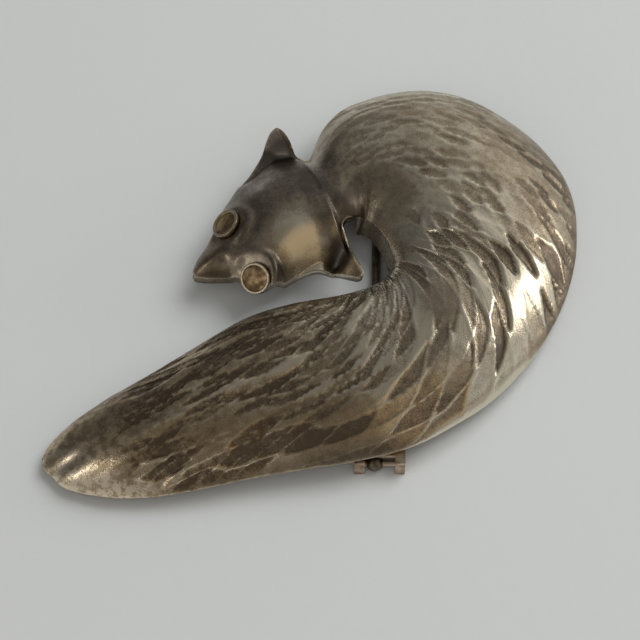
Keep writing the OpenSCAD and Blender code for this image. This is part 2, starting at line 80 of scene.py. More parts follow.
# Sections from the tail's tip round the back to the nose, each from the outer to the inner edge of the
# sheet. x is a share of the length and y of the width, both from the middle. The rims are shares of the rim
# height and the dome of the dome height. The crest is where the dome peaks, the foot how softly it runs out
# at its border, and the flap the share that lies flat outside it.
SECTIONS = np.array([
    [-0.499, -0.417, 0.23, -0.500, -0.402, 0.24, 0.00, 0.50, 0.8, 0],
    [-0.494, -0.430, 0.22, -0.496, -0.388, 0.25, 0.06, 0.50, 0.8, 0],
    [-0.482, -0.447, 0.22, -0.486, -0.368, 0.26, 0.16, 0.50, 0.8, 0],
    [-0.449, -0.476, 0.23, -0.450, -0.328, 0.34, 0.38, 0.52, 0.8, 0],
    [-0.390, -0.494, 0.27, -0.390, -0.278, 0.45, 0.58, 0.54, 0.8, 0],
    [-0.310, -0.500, 0.33, -0.316, -0.228, 0.56, 0.72, 0.55, 0.8, 0],
    [-0.220, -0.488, 0.42, -0.228, -0.164, 0.67, 0.80, 0.55, 0.8, 0],
    [-0.120, -0.465, 0.50, -0.135, -0.096, 0.74, 0.84, 0.55, 0.8, 0],
    [-0.022, -0.447, 0.57, -0.052, -0.064, 0.80, 0.86, 0.54, 0.8, 0],
    [0.066, -0.431, 0.60, 0.023, -0.050, 0.86, 0.88, 0.52, 0.8, 0],
    [0.156, -0.402, 0.58, 0.078, -0.036, 0.90, 0.90, 0.50, 0.8, 0],
    [0.242, -0.347, 0.51, 0.111, -0.020, 0.93, 0.93, 0.48, 0.8, 0],
    [0.333, -0.264, 0.40, 0.129, -0.002, 0.96, 0.97, 0.46, 0.8, 0],
    [0.413, -0.146, 0.30, 0.137, 0.018, 0.98, 1.00, 0.45, 0.8, 0],
    [0.470, -0.014, 0.23, 0.138, 0.039, 1.00, 1.00, 0.45, 0.8, 0],
    [0.498, 0.130, 0.23, 0.134, 0.061, 1.00, 1.00, 0.46, 0.8, 0],
    [0.490, 0.262, 0.31, 0.127, 0.084, 1.00, 0.98, 0.48, 0.8, 0],
    [0.438, 0.366, 0.43, 0.117, 0.103, 1.00, 0.94, 0.50, 0.8, 0],
    [0.362, 0.443, 0.55, 0.108, 0.117, 1.00, 0.90, 0.52, 0.8, 0],
    [0.283, 0.489, 0.66, 0.099, 0.127, 0.99, 0.85, 0.55, 0.8, 0],
    [0.203, 0.500, 0.74, 0.091, 0.132, 0.99, 0.80, 0.58, 0.8, 0],
    [0.122, 0.483, 0.78, 0.086, 0.133, 1.01, 0.73, 0.60, 0.85, 0],
    [0.054, 0.442, 0.81, 0.080, 0.132, 1.04, 0.66, 0.58, 0.9, 0],
    [0.012, 0.388, 0.84, 0.074, 0.129, 1.07, 0.61, 0.56, 1.0, 0],
    [-0.007, 0.338, 0.87, 0.065, 0.125, 1.10, 0.565, 0.54, 1.0, 0.03],
    [-0.016, 0.305, 0.90, 0.052, 0.117, 1.15, 0.53, 0.53, 1.08, 0.07],
    [-0.031, 0.302, 0.94, 0.046, 0.100, 1.16, 0.51, 0.53, 1.12, 0.12],
    [-0.044, 0.312, 0.94, 0.054, 0.072, 1.07, 0.562, 0.54, 1.16, 0.16],
    [-0.054, 0.334, 0.94, 0.067, 0.026, 0.98, 0.602, 0.55, 1.22, 0.22],
    [-0.070, 0.350, 0.94, 0.081, -0.018, 0.96, 0.605, 0.56, 1.25, 0.27],
    [-0.089, 0.352, 0.93, 0.077, -0.028, 0.93, 0.63, 0.54, 1.27, 0.28],
    [-0.100, 0.339, 0.90, 0.052, -0.007, 0.90, 0.66, 0.51, 1.22, 0.23],
    [-0.110, 0.309, 0.87, 0.020, 0.017, 0.88, 0.69, 0.48, 1.13, 0.15],
    [-0.132, 0.261, 0.84, -0.018, 0.013, 0.84, 0.69, 0.46, 1.02, 0.06],
    [-0.154, 0.229, 0.82, -0.050, -0.006, 0.82, 0.66, 0.47, 0.9, 0],
    [-0.169, 0.198, 0.80, -0.076, -0.028, 0.80, 0.61, 0.49, 0.8, 0],
    [-0.183, 0.169, 0.78, -0.098, -0.037, 0.78, 0.56, 0.50, 0.8, 0],
    [-0.192, 0.136, 0.77, -0.119, -0.034, 0.77, 0.50, 0.50, 0.8, 0],
    [-0.197, 0.108, 0.75, -0.139, -0.016, 0.75, 0.44, 0.50, 0.8, 0],
    [-0.207, 0.088, 0.73, -0.158, 0.001, 0.73, 0.38, 0.50, 0.8, 0],
    [-0.218, 0.070, 0.71, -0.182, 0.003, 0.71, 0.32, 0.50, 0.8, 0],
    [-0.228, 0.049, 0.69, -0.205, 0.003, 0.69, 0.24, 0.50, 0.8, 0],
    [-0.234, 0.029, 0.68, -0.224, 0.005, 0.68, 0.12, 0.50, 0.8, 0],
    [-0.236, 0.020, 0.68, -0.232, 0.009, 0.68, 0.02, 0.50, 0.8, 0],
])


@dataclass(frozen=True)
class Bulge:
    """A smooth hill or hollow of the head, in shares of the length; the height is a share of the brow's."""

    x: float
    y: float
    along: float
    across: float
    turn: float
    height: float


@dataclass(frozen=True)
class Ear:
    """An ear in shares of the length: its folded rear edge from root to tip, its side and its hollow."""

    root: tuple[float, float]
    tip: tuple[float, float]
    side: int
    hollow: Bulge


BULGES = (
    Bulge(-0.050, 0.080, 0.070, 0.060, 29, 0.60),
    Bulge(-0.150, 0.055, 0.030, 0.022, 29, -0.30),
    Bulge(-0.195, 0.028, 0.040, 0.016, 29, 0.45),
    Bulge(-0.105, 0.205, 0.060, 0.018, 50, -0.25),
    Bulge(-0.030, 0.000, 0.040, 0.016, 10, -0.25),
    Bulge(0.055, 0.121, 0.036, 0.036, 0, 1.00),
)
EARS = (
    Ear((-0.033, 0.261), (-0.079, 0.304), -1, Bulge(-0.078, 0.272, 0.022, 0.014, -20, 0.45)),
    Ear((0.045, 0.098), (0.083, -0.021), 1, Bulge(0.036, 0.036, 0.032, 0.017, 62, 1)),
)


def smooth(t: Array) -> Array:
    """Eases from 0 at t = 0 to 1 at t = 1."""
    s = np.clip(t, 0, 1)
    return s * s * (3 - 2 * s)


def scatter(i: Array, j: Array, k: int) -> Array:
    """Uneven but repeatable numbers from 0 to 1 for the cells i, j: the broken part of a large sine."""
    return np.mod(np.sin(i * 127.1 + j * 311.7 + k * 74.7) * 43758.5453, 1.0)


def soft_noise(x: Array, y: Array, k: int) -> Array:
    """Smooth noise from -1 to 1 over cells of side 1: corner numbers joined by an eased blend.

    Args:
        x: First coordinate, in cells.
        y: Second coordinate, in cells.
        k: Which of the repeatable patterns to draw.

    Returns:
        The noise at each point.
    """
    i, j = np.floor(x), np.floor(y)
    a, b = smooth(x - i), smooth(y - j)
    low = scatter(i, j, k) * (1 - a) + scatter(i + 1, j, k) * a
    high = scatter(i, j + 1, k) * (1 - a) + scatter(i + 1, j + 1, k) * a
    return 2 * (low * (1 - b) + high * b) - 1


@dataclass(frozen=True)
class Waves:
    """Smooth noise over two coordinates: its height, its cells per unit and shifts, and which pattern."""

    height: float
    per_x: float
    per_y: float
    pattern: int
    shift_x: float = 0
    shift_y: float = 0

    def at(self, x: Array, y: Array) -> Array:
        """The noise at each point, from -height to height."""
        x, y = x * self.per_x + self.shift_x, y * self.per_y + self.shift_y
        return self.height * soft_noise(x, y, self.pattern)


@dataclass(frozen=True)
class Stretch:
    """A stretch of sections or places across: its start and end, and over how much each is eased."""

    start: float
    ease_in: float
    end: float
    ease_out: float

    def share(self, x: Array) -> Array:
        """1 inside the stretch, eased to 0 at its ends."""
        return smooth((x - self.start) / self.ease_in) * smooth((self.end - x) / self.ease_out)


def unit(v: Array) -> Array:
    """The vectors at length 1."""
    return v / np.maximum(np.linalg.norm(v, axis=-1, keepdims=True), 1e-12)


@dataclass
class SheetForm:
    """The plain domed sheet over u, the section number, and v, 0 at the inner and 1 at the outer edge."""

    length: float = 58 * MM
    width: float = 50 * MM
    rim_height: float = 5.4 * MM
    dome_height: float = 5.2 * MM
    thickness: float = 1.0 * MM
    brow_height: float = 1.0 * MM
    ear_height: float = 2.4 * MM
    ear_cup: float = 1.5 * MM
    fold_reach: float = 0.056
    fullness: float = 2.3
    head_from: float = 20
    head_fade: float = 2
    line_points: int = 2000

    @property
    def last(self) -> int:
        """Number of the last section, at the nose."""
        return len(SECTIONS) - 1

    def rows(self, u: Array) -> Array:
        """The table's columns at u, on a Catmull-Rom curve through the rows.

        Args:
            u: Section numbers.

        Returns:
            The ten columns at each u.
        """
        u = np.asarray(u, float)
        i = np.clip(np.floor(u).astype(int), 0, self.last - 1)
        t = (u - i)[..., None]
        a, b = SECTIONS[np.maximum(i - 1, 0)], SECTIONS[i]
        c, d = SECTIONS[i + 1], SECTIONS[np.minimum(i + 2, self.last)]
        return b + 0.5 * t * ((c - a) + t * ((2 * a - 5 * b + 4 * c - d) + t * (3 * (b - c) + d - a)))

    def dome(self, v: Array, rows: Array) -> Array:
        """Rise of the dome: 1 at the crest, 0 at the flaps, (1 - w ^ fullness) ^ foot in between.

        Args:
            v: Places across the sheet.
            rows: The table's columns there.

        Returns:
            The rise at each point.
        """
        crest = rows[..., Column.CREST]
        w = np.where(v < crest, (crest - v) / crest, (v - crest) / (1 - crest))
        w = np.abs(w) / (1 - np.maximum(rows[..., Column.FLAP], 0))
        return np.maximum(1 - w ** self.fullness, 0) ** rows[..., Column.FOOT]

    @staticmethod
    def hill(x: Array, y: Array, bulge: Bulge) -> Array:
        """A bell of height 1 over a turned ellipse.

        Args:
            x: Shares of the length to the right.
            y: Shares of the length away.
            bulge: The hill's place and size.

        Returns:
            The height of the bell at each point.
        """
        dx, dy = x - bulge.x, y - bulge.y
        c, s = math.cos(math.radians(bulge.turn)), math.sin(math.radians(bulge.turn))
        return np.exp(-((dx * c + dy * s) / bulge.along) ** 2 - ((dy * c - dx * s) / bulge.across) ** 2)

    def head(self, x: Array, y: Array) -> Array:
        """Height of brow, snout and ears over the dome: hills, folds that rise to the tips, and hollows.

        Args:
            x: Shares of the length to the right.
            y: Shares of the length away.

        Returns:
            The added height in metres.
        """
        total = self.brow_height * sum(b.height * self.hill(x, y, b) for b in BULGES)
        for ear in EARS:
            fold = np.subtract(ear.tip, ear.root)
            dx, dy = x - ear.root[0], y - ear.root[1]
            along = (dx * fold[0] + dy * fold[1]) / (fold @ fold)
            off = ear.side * (dx * fold[1] - dy * fold[0]) / np.linalg.norm(fold)
            rise = (1 - np.clip(off / self.fold_reach, 0, 1)) ** 2
            total = total + self.ear_height * smooth(along) * rise
            total = total - self.ear_cup * ear.hollow.height * self.hill(x, y, ear.hollow)
        return total

    def plain(self, u: Array, v: Array) -> Array:
        """Points of the sheet's face without fur or seats.

        Args:
            u: Section numbers.
            v: Places across the sheet.

        Returns:
            The points, in metres.
        """
        u, v = np.broadcast_arrays(np.asarray(u, float), np.asarray(v, float))
        rows = self.rows(u)
        x = (1 - v) * rows[..., Column.INNER_X] + v * rows[..., Column.OUTER_X]
        y = (1 - v) * rows[..., Column.INNER_Y] + v * rows[..., Column.OUTER_Y]
        rim = (1 - v) * rows[..., Column.INNER_RIM] + v * rows[..., Column.OUTER_RIM]
        z = self.rim_height * rim + self.dome_height * rows[..., Column.DOME] * self.dome(v, rows)
        y_share = y * self.width / self.length
        z = z + smooth((u - self.head_from) / self.head_fade) * self.head(x, y_share)
        return np.stack([x * self.length, y * self.width, z], -1)

    def normals(self, u: Array, v: Array, reach_u: float = 0.04, reach_v: float = 0.01) -> Array:
        """Outward normals from the differences over a small reach along and across.

        Args:
            u: Section numbers.
            v: Places across the sheet.
            reach_u: Reach along, in sections.
            reach_v: Reach across.

        Returns:
            Unit vectors out of the face.
        """
        ahead, behind = np.minimum(u + reach_u, self.last), np.maximum(u - reach_u, 0)
        along = self.plain(ahead, v) - self.plain(behind, v)
        across = self.plain(u, np.minimum(v + reach_v, 1)) - self.plain(u, np.maximum(v - reach_v, 0))
        return unit(np.cross(across, along))

    def line(self, place: float) -> tuple[Array, Array]:
        """Measures the sheet's length from above along one place across: running sums of short steps.

        Args:
            place: Where across, from 0 to 1.

        Returns:
            The section numbers and the length up to each, in metres.
        """
        u = np.linspace(0, self.last, self.line_points)
        points = self.plain(u, place)[:, :2]
        return u, np.append(0, np.cumsum(np.linalg.norm(np.diff(points, axis=0), axis=1)))


class FurZone(IntEnum):
    """Columns of the fur table."""

    SECTION = 0
    SWEEP = 1
    GAP = 2
    LENGTH = 3
    DEPTH = 4
    FILL = 5
    STROKES = 6


# How the fur lies from tail to neck: section, angle outwards from the middle line in degrees, and the gap
# between two rows, the length and the depth of a cut in millimetres. Then the size of the cuts as a share
# of the largest, and the depth of the long soft strokes as a share of the cuts'.
FUR = np.array([
    [0.0, 3, 0.60, 4.6, 0.00, 1.00, 0.3],
    [4.2, 3, 0.60, 5.0, 0.00, 1.00, 0.3],
    [5.2, 3, 0.60, 5.4, 0.28, 1.00, 0.2],
    [7.0, 6, 0.60, 5.6, 0.34, 1.00, 0.2],
    [8.0, 16, 0.58, 5.4, 0.34, 1.00, 0.2],
    [9.0, 30, 0.58, 5.4, 0.32, 1.00, 0.3],
    [10.0, 42, 0.64, 5.8, 0.30, 1.00, 0.3],
    [11.0, 50, 0.80, 6.5, 0.32, 1.00, 0.3],
    [12.5, 54, 0.92, 7.2, 0.34, 0.98, 0.3],
    [14.0, 50, 0.90, 6.8, 0.32, 0.96, 0.4],
    [15.0, 42, 0.85, 6.0, 0.24, 0.88, 0.6],
    [16.0, 32, 0.78, 5.2, 0.15, 0.80, 1.0],
    [17.0, 24, 0.75, 5.2, 0.12, 0.76, 1.3],
    [19.0, 9, 0.72, 5.2, 0.11, 0.72, 1.6],
    [21.5, 0, 0.70, 4.8, 0.11, 0.72, 1.6],
    [24.0, 0, 0.70, 4.6, 0.00, 0.72, 1.0],
])


class PatinaAndPaintedLight(IntEnum):
    """Columns of the patina table."""

    SECTION = 0
    INNER = 1
    MIDDLE = 2
    OUTER = 3
    WARMTH = 4


# How dark the silver is from tail to nose: at the inner edge, in the middle and at the outer edge of
# the sheet, from 0 for rubbed bright to 1, and how brown the dark is. The darkness is real tarnishing
# with painted light in it: painted shade along the tail's inner edge, which faces the dark side of the
# room, and painted highlights at the tail's tip and on its outer side, where light falls.
PATINA_AND_PAINTED_LIGHT = np.array([
    [0.0, 0.35, 0.30, 0.25, 0.8],
    [2.4, 0.55, 0.35, 0.20, 0.9],
    [3.5, 0.85, 0.45, 0.12, 0.9],
    [4.6, 0.90, 0.60, 0.15, 0.9],
    [5.4, 0.92, 0.74, 0.62, 0.9],
    [6.5, 0.88, 0.68, 0.78, 0.85],
    [8.0, 0.76, 0.60, 0.80, 0.75],
    [9.0, 0.55, 0.52, 0.80, 0.6],
    [10.0, 0.16, 0.36, 0.76, 0.55],
    [11.0, 0.08, 0.30, 0.58, 0.5],
    [12.0, 0.36, 0.46, 0.62, 0.3],
    [13.0, 0.38, 0.44, 0.80, 0.4],
    [14.0, 0.38, 0.42, 0.95, 0.5],
    [15.0, 0.40, 0.42, 0.92, 0.5],
    [16.0, 0.42, 0.42, 0.84, 0.5],
    [17.5, 0.50, 0.44, 0.76, 0.5],
    [19.0, 0.56, 0.44, 0.52, 0.45],
    [21.0, 0.66, 0.48, 0.48, 0.4],
    [22.5, 0.85, 0.66, 0.55, 0.4],
    [24.0, 0.90, 0.88, 0.70, 0.3],
    [26.0, 0.85, 0.92, 0.55, 0.2],
    [28.0, 0.65, 0.92, 0.85, 0.2],
    [31.0, 0.45, 0.88, 0.85, 0.2],
    [33.0, 0.28, 0.76, 0.90, 0.3],
    [35.0, 0.45, 0.82, 0.95, 0.3],
    [37.0, 0.60, 0.82, 0.90, 0.3],
    [40.0, 0.80, 0.92, 0.98, 0.7],
    [43.0, 0.70, 0.85, 0.95, 0.7],
])


@dataclass(frozen=True)
class WornAndPaintedLightPatch:
    """A patch of the sheet where the fur is rubbed smooth, and how much darker or brighter it is. Some
    patches carry painted shade, and some a painted highlight.
    """

    u: float
    v: float
    reach_u: float
    reach_v: float
    edge: float
    smoothness: float
    darker: float

    def share(self, u: Array, v: Array) -> Array:
        """1 inside the patch, eased to 0 at its reach."""
        away = np.hypot((u - self.u) / self.reach_u, (v - self.v) / self.reach_v)
        return smooth((1 - away) / self.edge)


WORN_AND_PAINTED_LIGHT = (
    WornAndPaintedLightPatch(20.6, 0.08, 4.9, 0.27, 0.30, 0.95, 0.22),
    WornAndPaintedLightPatch(12.2, 0.42, 1.0, 0.20, 0.60, 0.85, 0.10),
    # Painted highlight: brighter where the window's reflection falls on the flank.
    WornAndPaintedLightPatch(13.5, 0.74, 1.6, 0.16, 0.80, 0.00, -0.22),
    WornAndPaintedLightPatch(14.8, 0.00, 5.0, 0.17, 0.70, 1.00, 0.02),
    # Painted highlight: a brighter thin band along the lower rim of the flank.
    WornAndPaintedLightPatch(11.6, 1.00, 1.8, 0.045, 0.60, 0.50, -0.70),
    # Painted highlight: a brighter rear edge of the lower ear.
    WornAndPaintedLightPatch(27.7, 0.00, 2.2, 0.12, 0.50, 1.00, -0.85),
    # Painted shade: darker on the wall of the hollow beside the lower eye.
    WornAndPaintedLightPatch(34.5, 0.10, 1.3, 0.20, 0.80, 1.00, 0.50),
    WornAndPaintedLightPatch(6.6, 0.73, 2.0, 0.13, 0.60, 0.45, 0.04),
    WornAndPaintedLightPatch(8.8, 0.86, 1.5, 0.22, 0.60, 0.35, 0.08),
    WornAndPaintedLightPatch(11.4, 0.76, 0.7, 0.16, 0.60, 0.60, -0.06),
    WornAndPaintedLightPatch(3.5, 0.84, 1.5, 0.34, 0.40, 1.00, -0.08),
    # Painted highlight: a soft, brighter glow on the forehead.
    WornAndPaintedLightPatch(32.9, 0.24, 2.4, 0.28, 1.00, 1.00, -0.54),
)


def wrap(x: Array, half: float) -> Array:
    """The distance of x from the nearest whole multiple of twice the half, between -half and half."""
    return x - 2 * half * np.floor((x + half) / (2 * half))


@dataclass(frozen=True)
class Pockets:
    """The chased cuts: two staggered lattices of sunken drops, each of its own size, slant and depth."""

    half_width: float = 0.98
    half_length: float = 0.50
    taper: float = 0.45
    slant: float = 0.40
    wall: float = 0.34
    width_spread: float = 0.12
    length_spread: float = 0.10
    shallowest: float = 0.12
    deep_from: float = 0.90

    def depth(self, t: Array, s: Array, fill: Array, seed: int) -> Array:
        """Depth from 0 on the ridges to 1 in the deepest cuts.

        In each cell, with a and b from its middle across and along, the bowl is 1 - (a' / width) ^ 2 - (b /
        length) ^ 2, where a' is a with the slant and the width grows towards the tail's side. The cut is
        the higher bowl less the other one where that is over 0, eased over the wall: floors are flat, and a
        thin ridge stays where two cuts meet.

        Args:
            t: Row counts.
            s: Cut counts along the rows.
            fill: Size of the cuts, as a share of the largest.
            seed: Which of the repeatable patterns to draw.

        Returns:
            The depth at each point.
        """
        bowls, floors = [], []
        for lattice, (offset_t, offset_s) in enumerate(((0, 0), (1, 0.5))):
            across, along = wrap(t - offset_t, 1), wrap(s - offset_s, 0.5)
            i, j = np.round((t - offset_t - across) / 2), np.round(s - offset_s - along)
            chance = [scatter(i, j, seed + 4 * lattice + k) for k in range(4)]
            width = self.half_width * fill * (1 - self.width_spread * (1 - chance[0]))
            width = np.minimum(width * (1 + self.taper * along), 1)
            length = self.half_length * fill * (1 - self.length_spread * (1 - chance[1]))
            leaning = across + self.slant * (2 * chance[2] - 1) * along
            bowls.append(1 - (leaning / width) ** 2 - (along / length) ** 2)
            floors.append(smooth((chance[3] + self.shallowest) / self.deep_from))
        over = np.clip(bowls[0], 0, 1), np.clip(bowls[1], 0, 1)
        return np.maximum(smooth((over[0] - over[1]) / self.wall) * floors[0],
                          smooth((over[1] - over[0]) / self.wall) * floors[1])


@dataclass
class FurChasing:
    """The chased fur: drop-shaped cuts in staggered rows that flow from the neck to the tail."""

    form: SheetForm
    rim_fade: float = 0.06
    full_depth: float = 0.28 * MM
    first_row: float = -3.734
    first_cut: float = -0.696
    row_bends: tuple[Waves, ...] = (Waves(0.8, 0.20, 0.7, 11), Waves(0.30, 0.6, 1.6, 13))
    cut_bend: Waves = Waves(0.40, 0.40, 0.6, 12)
    usual_depth: float = 0.80
    uneven: Waves = Waves(0.35, 0.25, 0.5, 16)
    ripple_share: float = 0.26
    ripple: Waves = Waves(0.5, 2.2, 1.1, 18)
    stroke: Waves = Waves(0.5, 0.55, 0.9, 19)
    cuts: Pockets = Pockets()
    cut_pattern: int = 31
    barb_gap: float = 3.6 * MM
    barb_depth: float = 0.26 * MM
    barb_curve: float = 0.75 / MM
    barb_end: float = 0.09
    barb_sections: Stretch = Stretch(4.7, 0.4, 8, 1.8)
    barb_places: Stretch = Stretch(0.70, 0.12, 1, 0.07)
    spine_height: float = 0.20 * MM
    spine_half_width: float = 0.045
    spine_sections: tuple[float, ...] = (4.5, 5.5, 7, 8.8)
    spine_places: tuple[float, ...] = (0.60, 0.56, 0.53, 0.40)
    spine_stretch: Stretch = Stretch(4.6, 0.8, 9.2, 1.2)
    tip_scoop: Bulge = Bulge(-0.448, -0.372, 0.040, 0.012, 24, 0.30 * MM)

    def zone(self, u: Array, column: FurZone) -> Array:
        """A column of the fur table at u, eased from row to row."""
        return np.interp(u, FUR[:, FurZone.SECTION], FUR[:, column])

    def coordinates(self, u: Array, v: Array) -> tuple[Array, Array]:
        """Counts of rows across the fur and of cuts along it, gently warped.

        The middle line's length, turned by the sweep and divided by the local gap or length, is summed up
        to u, so that rows bend and narrow without a break. Noise then bends the rows a little.

        Args:
            u: Section numbers.
            v: Places across the sheet.

        Returns:
            The row count and the cut count at each point.
        """
        line, run = self.form.line(0.5)
        step = np.diff(run)
        middle = (line[1:] + line[:-1]) / 2
        sweep = np.radians(self.zone(middle, FurZone.SWEEP))
        rows = np.cumsum(step * np.sin(sweep) / (self.zone(middle, FurZone.GAP) * MM))
        cuts = np.cumsum(step * np.cos(sweep) / (self.zone(middle, FurZone.LENGTH) * MM))
        drift, advance = self.first_row + np.append(0, rows), self.first_cut + np.append(0, cuts)
        w = (v - 0.5) * self.width(u)
        turn = np.radians(self.zone(u, FurZone.SWEEP))
        t = w * np.cos(turn) / (self.zone(u, FurZone.GAP) * MM) + np.interp(u, line, drift)
        s = w * np.sin(turn) / (self.zone(u, FurZone.LENGTH) * MM) - np.interp(u, line, advance)
        return t + sum(bend.at(t, s) for bend in self.row_bends), s + self.cut_bend.at(t, s)

    def width(self, u: Array) -> Array:
        """Distance from the inner to the outer edge, seen from above."""
        return np.linalg.norm((self.form.plain(u, 1) - self.form.plain(u, 0))[..., :2], axis=-1)

    def strength(self, u: Array, v: Array, t: Array, s: Array) -> Array:
        """How deep the cuts are here, in metres: none at the rims, less in worn patches.

        Args:
            u: Section numbers.
            v: Places across the sheet.
            t: Row counts.
            s: Cut counts along the rows.

        Returns:
            The depth in metres.
        """
        here = smooth(v / self.rim_fade) * smooth((1 - v) / self.rim_fade)
        worn = np.prod([1 - patch.smoothness * patch.share(u, v) for patch in WORN_AND_PAINTED_LIGHT], axis=0)
        return self.zone(u, FurZone.DEPTH) * MM * here * worn * (self.usual_depth + self.uneven.at(t, s))

    def barbs(self, u: Array, v: Array) -> Array:
        """Overlapping barbs along the tail's outer edge, in metres.

        The depth is the broken part of (run - curve * inwards ^ 2) / gap, where run is the outer edge's
        length and inwards the distance from it, so each barb ends round towards the tail's tip.

        Args:
            u: Section numbers.
            v: Places across the sheet.

        Returns:
            Depth at each point.
        """
        line, run = self.form.line(1.0)
        inwards = (1 - v) * self.width(u)
        count = (np.interp(u, line, run) - self.barb_curve * inwards ** 2) / self.barb_gap
        saw = count - np.floor(count)
        place = self.barb_places.share(v) * self.barb_sections.share(u)
        return self.barb_depth * saw * smooth((1 - saw) / self.barb_end) * place

    def spine_share(self, u: Array, v: Array) -> Array:
        """1 on the soft ridge that runs down the tail, 0 away from it."""
        line = np.interp(u, self.spine_sections, self.spine_places)
        return np.exp(-((v - line) / self.spine_half_width) ** 2) * self.spine_stretch.share(u)

    def relief(self, u: Array, v: Array, points: Array) -> dict[str, Array]:
        """Depth of the fur, with what a finish needs to follow it.

        Args:
            u: Section numbers of the grid.
            v: Places across of the grid.
            points: The plain sheet's points.

        Returns:
            "depth" in metres, "chased" and "pocket" from 0 to 1 and the fur coordinates "t" and "s".
        """
        t, s = self.coordinates(u, v)
        strength = self.strength(u, v, t, s)
        pocket = self.cuts.depth(t, s, self.zone(u, FurZone.FILL), self.cut_pattern)
        ripple, stroke = 0.5 + self.ripple.at(t, s), 0.5 + self.stroke.at(t, s)
        depth = strength * (pocket + self.ripple_share * ripple + self.zone(u, FurZone.STROKES) * stroke)
        x, y = points[..., 0] / self.form.length, points[..., 1] / self.form.length
        scoop = self.tip_scoop.height * self.form.hill(x, y, self.tip_scoop)
        depth = depth + self.barbs(u, v) + scoop - self.spine_height * self.spine_share(u, v)
        chased = np.clip(strength / self.full_depth, 0, 1)
        return {"depth": depth, "chased": chased, "pocket": chased * pocket, "t": t, "s": s}


@dataclass
class EyeSeat:
    """Where an eye sits on the sheet, with its lean to the nose and upwards."""

    u: float
    v: float
    lean: float
    lift: float
    reach: float
    fade: float
    form: SheetForm

    def __post_init__(self) -> None:
        """Works out the seat's middle and normal on the plain sheet."""
        self.middle = self.form.plain(self.u, self.v)
        ahead = unit(self.form.plain(self.u + 0.5, self.v) - self.form.plain(self.u - 0.5, self.v))
        normal = self.form.normals(np.array(self.u), np.array(self.v))
        self.normal = unit(normal + self.lean * ahead + self.lift * np.array([0, 0, 1]))

    def flatten(self, points: Array) -> Array:
        """Draws the points near the seat to its plane, eased out over the fade.

        Args:
            points: Points of the plain sheet.

        Returns:
            The points with this seat in them.
        """
        away = points - self.middle
        share = 1 - smooth((np.linalg.norm(away[..., :2], axis=-1) - self.reach) / self.fade)
        level = self.middle[2] - (away[..., :2] @ self.normal[:2]) / self.normal[2]
        flat = points.copy()
        flat[..., 2] += share * (level - points[..., 2])
        return flat


def mesh_object(name: str, points: Array, faces: list) -> bpy.types.Object:
    """Makes a smoothly shaded mesh object of points and faces and puts it in the scene.

    Args:
        name: Name of the object and its mesh.
        points: The corners, in metres.
        faces: Lists of corner numbers.

    Returns:
        The new object, at the origin.
    """
    mesh = bpy.data.meshes.new(name)
    mesh.from_pydata(points.reshape(-1, 3).tolist(), [], faces)
    mesh.validate()
    mesh.polygons.foreach_set("use_smooth", np.full(len(mesh.polygons), True))
    mesh.update()
    thing = bpy.data.objects.new(name, mesh)
    bpy.context.scene.collection.objects.link(thing)
    return thing


def closed_faces(rings: int, columns: int) -> list:
    """Faces of a tube of rings, row after row, whose ends close on one point each.

    Args:
        rings: Number of rings.
        columns: Points in each ring. The first end's point comes after the last ring, then the last end's.

    Returns:
        The quads, then the triangles of the first and of the last end, as lists of corner numbers.
    """
    i, j = np.arange(rings - 1)[:, None], np.arange(columns)
    k = (j + 1) % columns
    quads = np.stack([i * columns + k, (i + 1) * columns + k, (i + 1) * columns + j, i * columns + j], -1)
    first, base = np.full(columns, rings * columns), (rings - 1) * columns
    ends = np.stack([k, j, first], -1), np.stack([base + j, base + k, first + 1], -1)
    return quads.reshape(-1, 4).tolist() + ends[0].tolist() + ends[1].tolist()


def store(thing: bpy.types.Object, name: str, values: Array) -> None:
    """Keeps one number for each corner as a mesh attribute."""
    layer = thing.data.attributes.new(name, "FLOAT", "POINT")
    layer.data.foreach_set("value", np.ascontiguousarray(values, dtype=np.float32))


